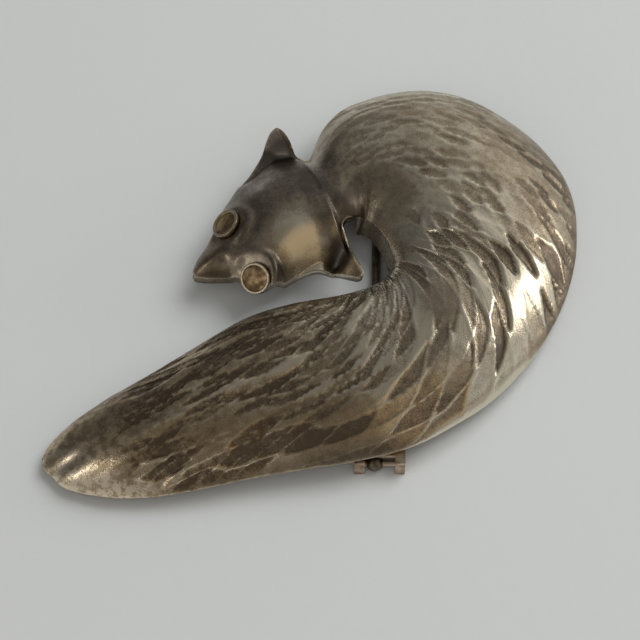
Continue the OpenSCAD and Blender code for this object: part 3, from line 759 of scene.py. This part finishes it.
@dataclass
class FoxShell:
    """The whole fox: one chased sheet with a rounded rim, closed over its hollow back."""

    form: SheetForm = field(default_factory=SheetForm)
    body_step: float = 0.33 * MM
    head_step: float = 0.26 * MM
    fine_points: int = 12000
    face_columns: int = 126
    back_columns: int = 26
    rim_radius: float = 0.30 * MM
    head_rim_radius: float = 0.18 * MM
    back_radius: float = 0.15 * MM
    tip_thickness: float = 0.10
    tip_sections: float = 2.6
    smallest_step: float = 0.05 * MM
    step_growth: float = 0.4
    face_crowding: float = 0.88
    back_crowding: float = 0.6
    back_reach: tuple[float, float] = (0.12, 0.03)
    eye_seats: tuple[tuple[float, ...], ...] = ((36.45, 0.765, 0.05, 0), (36.3, 0.115, 0.5, 0.35))
    eye_diameter: float = 3.4 * MM
    seat_reach: float = 0.53
    seat_fade: float = 0.40
    fur_ends: float = 23.5
    head_fade: float = 2
    rub_reach: float = 0.50 * MM
    back_tarnish: float = 0.85
    back_warmth: float = 0.6
    cup_tarnish_and_shade: float = 0.7
    # Painted highlight on the tail's soft ridge.
    spine_painted_highlight: float = 0.26
    darkest: float = 1.3
    coarse_dents: Waves = Waves(0.035 * MM, 0.42 / MM, 0.42 / MM, 21, 7, 0)
    fine_dents: Waves = Waves(0.014 * MM, 0.95 / MM, 0.95 / MM, 22, 0, 4)
    tip_dents: float = 1.5714
    tip_dents_end: tuple[float, float] = (3.4, 1.4)
    smoother_head: float = 0.75
    lip_stretch: Stretch = Stretch(11.5, 2, 23, 2)
    lip_reach: float = 0.10
    lip_in: float = 1.3 * MM
    lip_down: float = 1.4 * MM

    def __post_init__(self) -> None:
        """Sets up the fur and the eye seats on the same form."""
        self.fur = FurChasing(self.form)
        reach, fade = self.seat_reach * self.eye_diameter, self.seat_fade * self.eye_diameter
        self.seats = [EyeSeat(*place, reach, fade, self.form) for place in self.eye_seats]

    def on_head(self, u: Array, sooner: float = 0) -> Array:
        """0 on the furry body, eased to 1 on the head, and by so many sections sooner."""
        return smooth((u - self.fur_ends + sooner) / self.head_fade)

    def row_places(self) -> Array:
        """Spreads the rows: even steps along the longer edge, finer on the head and at both ends.

        Returns:
            The section numbers, rising from 0 to the last.
        """
        fine = np.linspace(0, self.form.last, self.fine_points)
        edges = [self.form.plain(fine, np.full_like(fine, v)) for v in (0, 1)]
        run = np.max([np.linalg.norm(np.diff(e, axis=0), axis=1) for e in edges], axis=0)
        middle = (fine[1:] + fine[:-1]) / 2
        step = self.body_step + (self.head_step - self.body_step) * self.on_head(middle, 1)
        from_tip = np.minimum(np.cumsum(run), np.cumsum(run[::-1])[::-1])
        step = np.minimum(step, self.smallest_step + self.step_growth * from_tip)
        count = np.append(0, np.cumsum(run / step))
        return np.interp(np.linspace(0, count[-1], int(count[-1]) + 1), count, fine)

    @staticmethod
    def column_places(count: int, crowding: float) -> Array:
        """Places across from 0 to 1, drawn together at the rims."""
        t = np.linspace(0, 1, count)
        return t - crowding * np.sin(2 * np.pi * t) / (2 * np.pi)

    @staticmethod
    def from_ends(points: Array, axis: int) -> Array:
        """Distance along one axis of the grid from each point to its nearer end: running sums of steps.

        Args:
            points: The grid of points.
            axis: 0 along the rows, 1 across them.

        Returns:
            The distance at each point, in metres.
        """
        steps = np.linalg.norm(np.diff(points, axis=axis), axis=-1)
        run = np.cumsum(np.insert(steps, 0, 0, axis=axis), axis=axis)
        return np.minimum(run, np.take(run, [-1], axis=axis) - run)

    def from_border(self, points: Array) -> Array:
        """Distance over the grid from each point to the nearest border."""
        return np.minimum(self.from_ends(points, 0), self.from_ends(points, 1))

    @staticmethod
    def rounding(away: Array, radius: Array | float) -> Array:
        """How far a face drops at a distance from its border: a quarter circle of the radius."""
        inside = np.clip(radius - away, 0, radius)
        return radius - np.sqrt(np.maximum(radius ** 2 - inside ** 2, 0))

    def build(self) -> bpy.types.Object:
        """Makes the closed mesh: the face, the rim and the back as one ring of columns for each row.

        The face is the plain sheet with flat eye seats, less the fur and the rim's rounding. The back lies
        a sheet's thickness under it, along the normals on the body and straight down on the head, and
        thinner at the tail's tip.

        Returns:
            The mesh object with its attributes and fur map.
        """
        rows = self.row_places()[:, None]
        u, v = np.broadcast_arrays(rows, self.column_places(self.face_columns, self.face_crowding))
        plain, normal = self.seated(u, v), self.form.normals(u, v)
        relief = self.fur.relief(u, v, plain)
        away = self.from_border(plain)
        on_head = self.on_head(u)
        radius = self.rim_radius + (self.head_rim_radius - self.rim_radius) * on_head
        drop = relief["depth"] + self.planishing(u, plain, on_head) + self.rounding(away, radius)
        face = plain - normal * drop[..., None]

        ub, vb = np.broadcast_arrays(rows, self.column_places(self.back_columns, self.back_crowding)[::-1])
        inner = self.seated(ub, vb)
        under_head = self.on_head(ub, 1)[..., None]
        outwards = self.form.normals(ub, vb, *self.back_reach)
        outwards = unit(outwards * (1 - under_head) + np.array([0, 0, 1]) * under_head)
        at_tip = self.tip_thickness + (1 - self.tip_thickness) * smooth(ub / self.tip_sections)
        thick = at_tip * (self.form.thickness - self.rounding(self.from_border(inner), self.back_radius))
        inner = inner - outwards * thick[..., None] + self.lip(ub, vb)

        ring = np.concatenate([face, inner], axis=1)
        count, columns = ring.shape[:2]
        points = np.vstack([ring.reshape(-1, 3), ring[[0, -1]].mean(axis=1)])
        shell = mesh_object("fox_sheet", points, closed_faces(count, columns))
        masks = {
            "chased": (relief["chased"], 0),
            "pocket": (relief["pocket"], 0),
            # The silver's darkness: real tarnishing with painted shade and painted highlights in it.
            "tarnish_and_painted_light": (self.tarnish_and_painted_light(u, v, plain), self.back_tarnish),
            "warmth": (self.patina_and_painted_light(u, PatinaAndPaintedLight.WARMTH), self.back_warmth),
            "rub": (1 - smooth(away / self.rub_reach), 0),
        }
        for name, (values, back) in masks.items():
            whole = np.concatenate([values, np.full(ub.shape, back)], axis=1)
            store(shell, name, np.append(whole.ravel(), [back, back]))
        on_face = np.stack([relief["t"], relief["s"]], -1)
        on_back = np.stack(self.fur.coordinates(ub, vb), -1)
        self.fur_map(shell, np.concatenate([on_face, on_back], axis=1))
        return shell

    @staticmethod
    def fur_map(shell: bpy.types.Object, places: Array) -> None:
        """Keeps the fur coordinates as the sheet's own map.

        Args:
            shell: The sheet.
            places: The row count and the cut count at each point of each ring.
        """
        layer = shell.data.uv_layers.new(name="fur")
        corner = np.empty(len(shell.data.loops), dtype=np.int32)
        shell.data.loops.foreach_get("vertex_index", corner)
        places = np.vstack([places.reshape(-1, 2), np.zeros((2, 2))])
        layer.data.foreach_set("uv", places[corner].astype(np.float32).ravel())

    def seated(self, u: Array, v: Array) -> Array:
        """Points of the plain sheet with its flat eye seats.

        Args:
            u: Section numbers.
            v: Places across the sheet.

        Returns:
            The points, in metres.
        """
        points = self.form.plain(u, v)
        for seat in self.seats:
            points = seat.flatten(points)
        return points

    def lip(self, u: Array, v: Array) -> Array:
        """Shift of the back at the opening's edge behind the flank, in and down, as a turned-in wall.

        Args:
            u: Section numbers.
            v: Places across the sheet.

        Returns:
            The shift of each point, in metres.
        """
        inwards = (self.form.plain(u, 0) - self.form.plain(u, 1)) * np.array([1, 1, 0])
        way = unit(inwards) * self.lip_in - np.array([0, 0, self.lip_down])
        return way * (self.lip_stretch.share(u) * smooth(1 - v / self.lip_reach))[..., None]

    def planishing(self, u: Array, points: Array, on_head: Array) -> Array:
        """Shallow dents of the hammer, in metres, fainter on the head and sharper at the tail's tip.

        Args:
            u: Section numbers.
            points: The plain sheet's points.
            on_head: How far each is on the head.

        Returns:
            The depth at each point.
        """
        x, y = points[..., 0], points[..., 1]
        end, fade = self.tip_dents_end
        finer = 1 + self.tip_dents * (1 - smooth((u - end) / fade))
        dents = self.coarse_dents.at(x, y) + finer * self.fine_dents.at(x, y)
        return dents * (1 - self.smoother_head * on_head)

    @staticmethod
    def patina_and_painted_light(u: Array, column: PatinaAndPaintedLight) -> Array:
        """A column of the patina table at u."""
        return np.interp(u, PATINA_AND_PAINTED_LIGHT[:, PatinaAndPaintedLight.SECTION], PATINA_AND_PAINTED_LIGHT[:, column])

    def tarnish_and_painted_light(self, u: Array, v: Array, points: Array) -> Array:
        """How dark the silver is: the patina table across the sheet, the patches, the tail's ridge and the
        ears' dark hollows.

        That is real tarnishing with painted shade and painted highlights in it.

        Args:
            u: Section numbers.
            v: Places across the sheet.
            points: The plain sheet's points.

        Returns:
            0 where the sheet is clean, 1 where dark.
        """
        inner, middle, outer = (self.patina_and_painted_light(u, c) for c in (PatinaAndPaintedLight.INNER, PatinaAndPaintedLight.MIDDLE, PatinaAndPaintedLight.OUTER))
        out_of_middle = (outer - middle) * (v * 2 - 1)
        across = np.where(v < 0.5, inner + (middle - inner) * v * 2, middle + out_of_middle)
        x, y = points[..., 0] / self.form.length, points[..., 1] / self.form.length
        cups = sum(self.form.hill(x, y, ear.hollow) for ear in EARS)
        patches = sum(patch.darker * patch.share(u, v) for patch in WORN_AND_PAINTED_LIGHT)
        # Painted highlight: the tail's soft ridge is made brighter.
        spine = self.spine_painted_highlight * self.fur.spine_share(u, v)
        # The ears' hollows are darker: the silver's tarnishing in them, and painted shade where they lie in
        # shadow.
        cups = self.cup_tarnish_and_shade * cups * self.on_head(u)
        return np.clip(across + patches - spine + cups, 0, self.darkest)


def frame_of(middle: Array, axis: Array) -> Matrix:
    """A matrix that puts local Z along the axis and the origin at the middle.

    Args:
        middle: Where the origin goes.
        axis: Direction of local Z.

    Returns:
        The 4 x 4 matrix.
    """
    turn = Vector(axis.tolist()).to_track_quat("Z", "Y").to_matrix().to_4x4()
    turn.translation = Vector(middle.tolist())
    return turn


def turned(name: str, profile: Array, sides: int, place: Matrix) -> bpy.types.Object:
    """Turns a profile of (radius, height) points about local Z: points (r cos a, r sin a, h).

    Args:
        name: Name of the piece.
        profile: The profile from the bottom middle to the top middle; its ends have radius 0.
        sides: Points round the piece.
        place: Matrix of the local frame.

    Returns:
        The closed mesh object.
    """
    angle = np.linspace(0, 2 * np.pi, sides, endpoint=False)
    ring = profile[1:-1]
    points = np.stack([ring[:, :1] * np.cos(angle), ring[:, :1] * np.sin(angle),
                       np.repeat(ring[:, 1:2], sides, 1)], -1).reshape(-1, 3)
    poles = np.array([[0, 0, profile[0, 1]], [0, 0, profile[-1, 1]]])
    points = np.vstack([points, poles])
    matrix = np.array(place)
    points = points @ matrix[:3, :3].T + matrix[:3, 3]
    return mesh_object(name, points, closed_faces(len(ring), sides))


class NodeTree:
    """A thin hand for one node tree: adds nodes, sets their sockets and links them."""

    def __init__(self, tree: bpy.types.NodeTree) -> None:
        """Keeps the tree to work on."""
        self.tree = tree

    def add(self, kind: str, settings: dict | None = None, **inputs: object) -> bpy.types.Node:
        """Adds a node.

        Args:
            kind: The node's type, without its ShaderNode beginning where it has one.
            settings: Properties of the node itself.
            inputs: Socket values or source sockets by name, with _ for a space.

        Returns:
            The new node.
        """
        full = kind if kind.startswith("Node") else "ShaderNode" + kind
        node = self.tree.nodes.new(full)
        for key, value in (settings or {}).items():
            setattr(node, key, value)
        for key, value in inputs.items():
            socket = node.inputs[int(key[1:])] if key[1:].isdigit() else node.inputs[key.replace("_", " ")]
            if isinstance(value, bpy.types.NodeSocket):
                self.tree.links.new(value, socket)
            else:
                socket.default_value = value
        return node

    def math(self, operation: str, a: object, b: object, clamp: bool = False) -> bpy.types.NodeSocket:
        """Adds one Math node and returns its result."""
        return self.add("Math", {"operation": operation, "use_clamp": clamp}, i0=a, i1=b).outputs[0]

    def plus(self, a: object, b: object) -> bpy.types.NodeSocket:
        """Adds two numbers."""
        return self.math("ADD", a, b)

    def times(self, a: object, b: object) -> bpy.types.NodeSocket:
        """Multiplies two numbers."""
        return self.math("MULTIPLY", a, b)

    def less(self, a: object, b: object) -> bpy.types.NodeSocket:
        """Takes b from a, but stays from 0 to 1."""
        return self.math("SUBTRACT", a, b, clamp=True)

    def group(self, group: bpy.types.NodeTree, **inputs: object) -> bpy.types.NodeSocket:
        """Adds a shared group and returns its result."""
        return self.add("Group", {"node_tree": group}, **inputs).outputs[0]

    def attribute(self, name: str) -> bpy.types.NodeSocket:
        """Reads a number that the mesh carries."""
        return self.add("Attribute", {"attribute_name": name}).outputs["Fac"]

    def span(self, value: object, low: float, high: float, to_low: float = 0, to_high: float = 1
             ) -> bpy.types.NodeSocket:
        """Eases from to_low at low to to_high at high.

        Args:
            value: The number or socket to map.
            low: Where the easing starts.
            high: Where it ends.
            to_low: The result up to low.
            to_high: The result from high.

        Returns:
            The result's socket.
        """
        node = self.add("MapRange", {"interpolation_type": "SMOOTHSTEP"}, Value=value, From_Min=low,
                        From_Max=high, To_Min=to_low, To_Max=to_high)
        return node.outputs[0]

    def mix(self, share: object, a: object, b: object) -> bpy.types.NodeSocket:
        """Mixes two colours.

        Args:
            share: How much of b there is.
            a: First colour or socket.
            b: Second one.

        Returns:
            The mixed colour's socket.
        """
        node = self.add("Mix", {"data_type": "RGBA"}, i0=share)
        for index, value in ((6, a), (7, b)):
            if isinstance(value, bpy.types.NodeSocket):
                self.tree.links.new(value, node.inputs[index])
            else:
                node.inputs[index].default_value = (*value, 1)
        return node.outputs[2]


def number_group(name: str, inputs: tuple[str, ...], output: str) -> NodeTree:
    """Starts a node group whose inputs and output are numbers of these names.

    Args:
        name: Name of the group.
        inputs: Names of its inputs.
        output: Name of its output.

    Returns:
        The group's node tree, ready for nodes.
    """
    group = bpy.data.node_groups.new(name, "ShaderNodeTree")
    for given in inputs:
        group.interface.new_socket(given, in_out="INPUT", socket_type="NodeSocketFloat")
    group.interface.new_socket(output, in_out="OUTPUT", socket_type="NodeSocketFloat")
    return NodeTree(group)


def blank_tree(owner: bpy.types.Material | bpy.types.World) -> NodeTree:
    """Starts the nodes of a new material or world from nothing.

    Args:
        owner: The new material or world.

    Returns:
        Its node tree, ready for nodes.
    """
    owner.use_nodes = True
    owner.node_tree.nodes.clear()
    return NodeTree(owner.node_tree)


def blotches_group() -> bpy.types.NodeTree:
    """Node group: cloudy patches of tarnished metal from noise on Object coordinates, as a mask from 0 to
    1.

    Returns:
        The group, with inputs Scale, Low and High and output Mask.
    """
    tree = number_group("blotches", ("Scale", "Low", "High"), "Mask")
    given = tree.add("NodeGroupInput").outputs
    place = tree.add("TexCoord").outputs["Object"]
    noise = tree.add("TexNoise", Vector=place, Scale=given["Scale"], Detail=5.0, Roughness=0.6)
    mask = tree.add("MapRange", {"interpolation_type": "SMOOTHSTEP"}, Value=noise.outputs["Fac"],
                    From_Min=given["Low"], From_Max=given["High"])
    tree.add("NodeGroupOutput", Mask=mask.outputs[0])
    return tree.tree


def grain_group() -> bpy.types.NodeTree:
    """Node group: the pitted, finely scratched skin of worn metal, as a height from 0 to 1.

    Returns:
        The group, with inputs Scale and Pits and output Height.
    """
    tree = number_group("worn_grain", ("Scale", "Pits"), "Height")
    given = tree.add("NodeGroupInput").outputs
    place = tree.add("TexCoord").outputs["Object"]
    noise = tree.add("TexNoise", Vector=place, Scale=given["Scale"], Detail=4.0, Roughness=0.65)
    cells = tree.add("TexVoronoi", Vector=place, Scale=tree.times(given["Scale"], 0.6))
    pits = tree.span(cells.outputs["Distance"], 0.0, 0.35)
    height = tree.plus(noise.outputs["Fac"], tree.times(pits, given["Pits"]))
    tree.add("NodeGroupOutput", Height=height)
    return tree.tree


@dataclass(frozen=True)
class Recipes:
    """The node groups that the finishes share."""

    blotches: bpy.types.NodeTree
    grain: bpy.types.NodeTree


@dataclass(frozen=True)
class MetalFinish:
    """A worn metal: its clean, dark and rubbed colours, and how rough, pitted and blotched it is."""

    name: str
    clean: Colour
    dark: Colour
    rubbed: Colour
    roughness: float
    grain_scale: float = 2600
    grain_depth: float = 0.03 * MM
    pits: float = 0.5
    blotch_scale: float = 700
    blotches: tuple[float, float] = (0.38, 0.62)
    rougher_dark: float = 0.2

    def material(self, recipes: Recipes) -> bpy.types.Material:
        """Builds the worn metal, brighter where the mesh says that it is rubbed.

        Args:
            recipes: The shared node groups.

        Returns:
            The new material.
        """
        made = bpy.data.materials.new(self.name)
        tree = blank_tree(made)
        low, high = self.blotches
        patch = tree.group(recipes.blotches, Scale=self.blotch_scale, Low=low, High=high)
        rub = tree.attribute("rub")
        mask = tree.less(patch, rub)
        skin = tree.group(recipes.grain, Scale=self.grain_scale, Pits=self.pits)
        bump = tree.add("Bump", Strength=0.6, Distance=self.grain_depth, Height=skin)
        colour = tree.mix(mask, tree.mix(rub, self.clean, self.rubbed), self.dark)
        rough = tree.span(mask, 0, 1, self.roughness, self.roughness + self.rougher_dark)
        shader = tree.add("BsdfPrincipled", Base_Color=colour, Metallic=1.0, Roughness=rough,
                          Normal=bump.outputs[0])
        tree.add("OutputMaterial", Surface=shader.outputs[0])
        return made


@dataclass(frozen=True)
class ChasedSilver:
    """Tarnished silver: bright on ridges and rims, smoky or brown in the cuts.

    How dark it is comes from the mesh's own attribute, real tarnishing with painted shade and painted
    highlights in it, with a share of each mask added. From clean to dark it turns from bright or gilt to
    middle or rosy, and then to smoke or umber. The second of each pair is where the mesh is warm.
    """

    name: str = "chased_silver"
    bright: Colour = (0.78, 0.71, 0.57)
    gilt: Colour = (0.80, 0.67, 0.50)
    middle: Colour = (0.40, 0.348, 0.280)
    rosy: Colour = (0.49, 0.38, 0.245)
    smoke: Colour = (0.150, 0.139, 0.123)
    umber: Colour = (0.172, 0.122, 0.079)
    roughness: float = 0.19
    rougher_dark: float = 0.20
    rougher_specks: float = 0.08
    in_pockets: float = 0.25
    on_ridges: float = -0.60
    where_rubbed: float = -0.40
    wide_clouds: float = 0.18
    small_clouds: float = 0.13
    warm_clouds: float = 0.44
    specks: float = 0.26
    cleaned: float = 0.27
    cloudy_warmth: tuple[float, float] = (0.75, 0.9)
    gilt_warmth: tuple[float, float, float, float] = (0.6, 0.9, 0, 0.8)
    middle_from: tuple[float, float] = (0, 0.5)
    dark_from: tuple[float, float] = (0.40, 0.95)
    clouds: tuple[tuple[float, ...], ...] = ((170, 0.36, 0.66), (1300, 0.40, 0.62), (6500, 0.44, 0.60))
    hair_stretch: tuple[float, float, float] = (4.0, 1.2, 1.0)
    hair_scale: float = 1.8
    hairs_off_fur: float = 0.06
    skin_share: float = 0.55
    skin_scale: float = 4200
    bump_depth: float = 0.03 * MM

    def material(self, recipes: Recipes) -> bpy.types.Material:
        """Builds the silver, which follows the sheet's own attributes and fur map.

        Args:
            recipes: The shared node groups.

        Returns:
            The new material.
        """
        made = bpy.data.materials.new(self.name)
        tree = blank_tree(made)
        chased, pocket, warmth, rub = (tree.attribute(n) for n in ("chased", "pocket", "warmth", "rub"))
        wide, small, speck = (tree.group(recipes.blotches, Scale=scale, Low=low, High=high)
                              for scale, low, high in self.clouds)
        ridge = tree.less(chased, pocket)
        in_cuts = tree.times(speck, tree.plus(0.4, pocket))
        # The mesh's darkness: real tarnishing with painted shade and painted highlights in it.
        tarnish_and_painted_light = tree.attribute("tarnish_and_painted_light")
        clear = tree.less(1.0, tarnish_and_painted_light)
        mottle = tree.times(small, tree.times(tree.span(warmth, *self.cloudy_warmth), clear))
        amount = tarnish_and_painted_light
        for mask, share in ((pocket, self.in_pockets), (ridge, self.on_ridges), (rub, self.where_rubbed),
                            (wide, self.wide_clouds), (small, self.small_clouds),
                            (mottle, self.warm_clouds), (in_cuts, self.specks)):
            amount = tree.plus(amount, tree.times(mask, share))
        amount = tree.less(amount, self.cleaned)
        half = tree.mix(warmth, self.middle, self.rosy)
        clean = tree.mix(tree.span(warmth, *self.gilt_warmth), self.bright, self.gilt)
        light = tree.mix(tree.span(amount, *self.middle_from), clean, half)
        dark = tree.mix(warmth, self.smoke, self.umber)
        colour = tree.mix(tree.span(amount, *self.dark_from), light, dark)
        rough = tree.plus(self.roughness, tree.times(amount, self.rougher_dark))
        rough = tree.plus(rough, tree.times(in_cuts, self.rougher_specks))
        fur = tree.add("UVMap", {"uv_map": "fur"}).outputs[0]
        along = tree.add("Mapping", Vector=fur, Scale=self.hair_stretch).outputs[0]
        hairs = tree.add("TexNoise", Vector=along, Scale=self.hair_scale, Detail=4.0, Roughness=0.6)
        hairs = tree.times(hairs.outputs["Fac"], tree.plus(self.hairs_off_fur, chased))
        skin = tree.group(recipes.grain, Scale=self.skin_scale, Pits=0.5)
        height = tree.plus(hairs, tree.times(skin, self.skin_share))
        bump = tree.add("Bump", Strength=0.7, Distance=self.bump_depth, Height=height)
        shader = tree.add("BsdfPrincipled", Base_Color=colour, Metallic=1.0, Roughness=rough,
                          Normal=bump.outputs[0])
        tree.add("OutputMaterial", Surface=shader.outputs[0])
        return made


SILVER = ChasedSilver()
EYE_BRASS = MetalFinish("eye_brass", (0.42, 0.30, 0.165), (0.15, 0.10, 0.055), (0.50, 0.42, 0.31), 0.28)
JOINT_BRASS = MetalFinish("joint_brass", (0.60, 0.50, 0.38), (0.36, 0.24, 0.16), (0.7, 0.6, 0.45), 0.34)
# The pin's wire: a dark base metal, made darker still as painted shade, since it lies in the shadow under
# the sheet.
PIN_METAL_AND_SHADE = MetalFinish("pin_metal", (0.20, 0.175, 0.13), (0.12, 0.10, 0.07), (0.5, 0.45, 0.36), 0.34)


@dataclass
class Eyes:
    """Two brass discs: a worn, low-domed middle that lies deeper than its thin border."""

    diameter: float = 3.4 * MM
    height: float = 0.5 * MM
    gap: float = 0.08 * MM
    border: float = 0.30 * MM
    step: float = 0.16 * MM
    edge: float = 0.09 * MM
    groove: float = 0.02 * MM
    rise: float = 0.10 * MM
    arc_points: int = 7
    middle_points: int = 26
    sides: int = 120

    def profile(self) -> tuple[Array, Array]:
        """Radius and height from the foot's middle to the top's middle, and where the disc is rubbed.

        Returns:
            The profile, and 1 for its points on the border, 0 for the others.
        """
        r, h, b, e = self.diameter / 2, self.height, self.border, self.edge
        arc = np.radians(np.linspace(0, 90, self.arc_points))
        side = np.stack([r - e + e * np.cos(arc), h - e + e * np.sin(arc)], -1)
        inner = np.stack([r - b + e * (1 - np.sin(arc)), h - e + e * np.cos(arc)], -1)
        x = np.linspace(1, 0, self.middle_points)
        middle = np.stack([(r - b - self.groove) * x, h - self.step + self.rise * (1 - x ** 2)], -1)
        foot = np.array([[0, 0], [r - e, 0], [r, e]])
        rub = np.repeat([0, 1, 0], [len(foot), 2 * self.arc_points, self.middle_points])
        return np.vstack([foot, side, inner, middle]), rub

    def build(self, name: str, seat: EyeSeat) -> bpy.types.Object:
        """Makes one eye on its seat.

        Args:
            name: Name of the piece.
            seat: Where it sits.

        Returns:
            The eye, with its rubbed border.
        """
        middle = seat.middle + self.gap * seat.normal
        profile, rub = self.profile()
        eye = turned(name, profile, self.sides, frame_of(middle, seat.normal))
        store(eye, "rub", np.append(np.repeat(rub[1:-1], self.sides), [0, 0]))
        return eye


@dataclass(frozen=True)
class RoomPatch:
    """A patch of the room: bearing from +Y to +X, height and reaches in degrees, and colour."""

    bearing: float
    height: float
    inner: float
    outer: float
    colour: Colour

    @property
    def way(self) -> tuple[float, float, float]:
        """The unit vector to the patch's middle."""
        a, e = math.radians(self.bearing), math.radians(self.height)
        return math.sin(a) * math.cos(e), math.cos(a) * math.cos(e), math.sin(e)


@dataclass(frozen=True)
class SoftBox:
    """A soft light: bearing from +Y to +X and height in degrees, distance, sides, brightness and colour."""

    name: str
    bearing: float
    height: float
    distance: float
    sides: tuple[float, float]
    radiance: float
    colour: Colour
    mirrored: bool = True


@dataclass
class Studio:
    """Plain pale floor, soft lights and the camera at the photograph's angle."""

    elevation: float = math.radians(60)
    distance: float = 230 * MM
    metres_per_pixel: float = 0.108 * MM
    picture: int = 640
    aim: tuple[float, float, float] = (-0.85 * MM, -2.0 * MM, 4.0 * MM)
    aim_pixel: tuple[float, float] = (310.0, 296.0)
    sensor: float = 36.0
    floor_half: float = 0.6
    floor_colour: Colour = (0.66, 0.675, 0.68)
    floor_grain: float = 420.0
    floor_bump: float = 0.12 * MM
    walls: Colour = (0.36, 0.355, 0.345)
    patches: tuple[RoomPatch, ...] = (
        RoomPatch(0, 90, 10, 55, (0.20, 0.195, 0.185)),
        RoomPatch(302, 20, 12, 60, (0.11, 0.11, 0.11)),
        RoomPatch(150, 20, 8, 36, (0.13, 0.122, 0.11)),
        RoomPatch(188, 60, 8, 36, (0.15, 0.135, 0.11)),
        RoomPatch(135, 34, 5, 28, (0.42, 0.34, 0.235)),
        RoomPatch(48, 22, 6, 34, (0.60, 0.58, 0.545)),
    )
    lights: tuple[SoftBox, ...] = (
        SoftBox("window", 80, 15, 0.5, (0.14, 0.17), 3.8, (1.0, 0.95, 0.86)),
        SoftBox("door", 228, 34, 0.5, (0.05, 0.30), 2.6, (1.0, 0.96, 0.90)),
        SoftBox("fill", 55, 56, 0.7, (0.5, 0.5), 3.6, (0.98, 1.0, 0.985), False),
        SoftBox("front", 180, 62, 0.7, (0.5, 0.5), 0.9, (0.98, 1.0, 1.0), False),
    )

    def camera(self) -> None:
        """Makes the camera, with the small shift that frames the brooch as the photograph does."""
        data = bpy.data.cameras.new("camera")
        data.sensor_width = self.sensor
        data.lens = self.sensor * self.distance / (self.metres_per_pixel * self.picture)
        data.shift_x = (self.picture / 2 - self.aim_pixel[0]) / self.picture
        data.shift_y = (self.aim_pixel[1] - self.picture / 2) / self.picture
        data.clip_start = 0.01
        thing = bpy.data.objects.new("camera", data)
        forward = Vector((0, math.cos(self.elevation), -math.sin(self.elevation)))
        thing.location = Vector(self.aim) - forward * self.distance
        thing.rotation_euler = (math.pi / 2 - self.elevation, 0, 0)
        bpy.context.scene.collection.objects.link(thing)
        bpy.context.scene.camera = thing

    def floor(self) -> bpy.types.Object:
        """Makes the plain pale floor.

        Returns:
            The floor's mesh object.
        """
        points = self.floor_half * np.array([[-1, -1, 0], [1, -1, 0], [1, 1, 0], [-1, 1, 0]])
        floor = mesh_object("floor", points, [(0, 1, 2, 3)])
        made = bpy.data.materials.new("pale_floor")
        tree = blank_tree(made)
        place = tree.add("TexCoord").outputs["Object"]
        soft = tree.add("TexNoise", Vector=place, Scale=self.floor_grain, Detail=3.0, Roughness=0.5)
        bump = tree.add("Bump", Strength=0.35, Distance=self.floor_bump, Height=soft.outputs["Fac"])
        shader = tree.add("BsdfPrincipled", Base_Color=(*self.floor_colour, 1), Roughness=0.6,
                          Normal=bump.outputs[0])
        tree.add("OutputMaterial", Surface=shader.outputs[0])
        floor.data.materials.append(made)
        return floor

    def light(self, box: SoftBox) -> None:
        """Adds a soft light that points at the brooch.

        Args:
            box: Where the light stands and how bright it is.
        """
        data = bpy.data.lights.new(box.name, "AREA")
        data.shape = "RECTANGLE"
        data.size, data.size_y = box.sides
        data.energy = box.radiance * math.pi * box.sides[0] * box.sides[1]
        data.color = box.colour
        thing = bpy.data.objects.new(box.name, data)
        away = Vector(RoomPatch(box.bearing, box.height, 0, 0, box.colour).way)
        thing.location = away * box.distance
        thing.rotation_mode = "QUATERNION"
        thing.rotation_quaternion = away.to_track_quat("Z", "Y")
        thing.visible_glossy = box.mirrored
        bpy.context.scene.collection.objects.link(thing)

    def world(self) -> None:
        """Makes the surroundings: a soft room with darker and lighter patches."""
        world = bpy.data.worlds.new("room")
        tree = blank_tree(world)
        bpy.context.scene.world = world
        way = tree.add("TexCoord").outputs["Generated"]
        colour: object = self.walls
        for patch in self.patches:
            towards = tree.add("VectorMath", {"operation": "DOT_PRODUCT"}, i0=way, i1=patch.way)
            reach = (math.cos(math.radians(angle)) for angle in (patch.outer, patch.inner))
            colour = tree.mix(tree.span(towards.outputs["Value"], *reach), colour, patch.colour)
        back = tree.add("Background", Color=colour, Strength=1.0)
        tree.add("OutputWorld", Surface=back.outputs[0])

    def build(self) -> None:
        """Sets up the whole studio."""
        self.camera()
        self.floor()
        self.world()
        for box in self.lights:
            self.light(box)
        bpy.context.scene.view_settings.view_transform = "Standard"


def dress(piece: bpy.types.Object, material: bpy.types.Material, body: str, slot: str, *nodes: str) -> None:
    """Gives a piece its material and body, hides the frame's nodes that it stands for, and reports it.

    Args:
        piece: The finished piece.
        material: What it is made of.
        body: The body that carries it.
        slot: Not used.
        nodes: The frame's nodes that it stands for, if any.
    """
    piece.data.materials.clear()
    piece.data.materials.append(material)
    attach(piece, body)
    if nodes:
        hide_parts(*nodes)
    LOG.info("%s rides on %s with %d corners", piece.name, body, len(piece.data.vertices))


def main() -> None:
    """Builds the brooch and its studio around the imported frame."""
    logging.basicConfig(level=logging.INFO, format="%(name)s: %(message)s")
    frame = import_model()
    recipes = Recipes(blotches_group(), grain_group())
    silver, eye_brass, joint_brass, pin_metal = (
        finish.material(recipes) for finish in (SILVER, EYE_BRASS, JOINT_BRASS, PIN_METAL_AND_SHADE))

    shell = FoxShell()
    dress(shell.build(), silver, "brooch", "silver", "fox_shell")
    eyes = Eyes()
    names = ("upper_eye_disc", "eye_upper"), ("lower_eye_disc", "eye_lower")
    for (name, node), seat in zip(names, shell.seats):
        dress(eyes.build(name, seat), eye_brass, "brooch", "eye_brass", node)
    for node, material in (("pin_joint", joint_brass), ("hinge_rivet", joint_brass), ("catch", joint_brass),
                           ("pin_wire", pin_metal)):
        frame["nodes"][node].material_slots[0].material = material
        LOG.info("%s keeps its own solid, in %s", node, material.name)

    Studio().build()


if __name__ == "__main__":
    main()
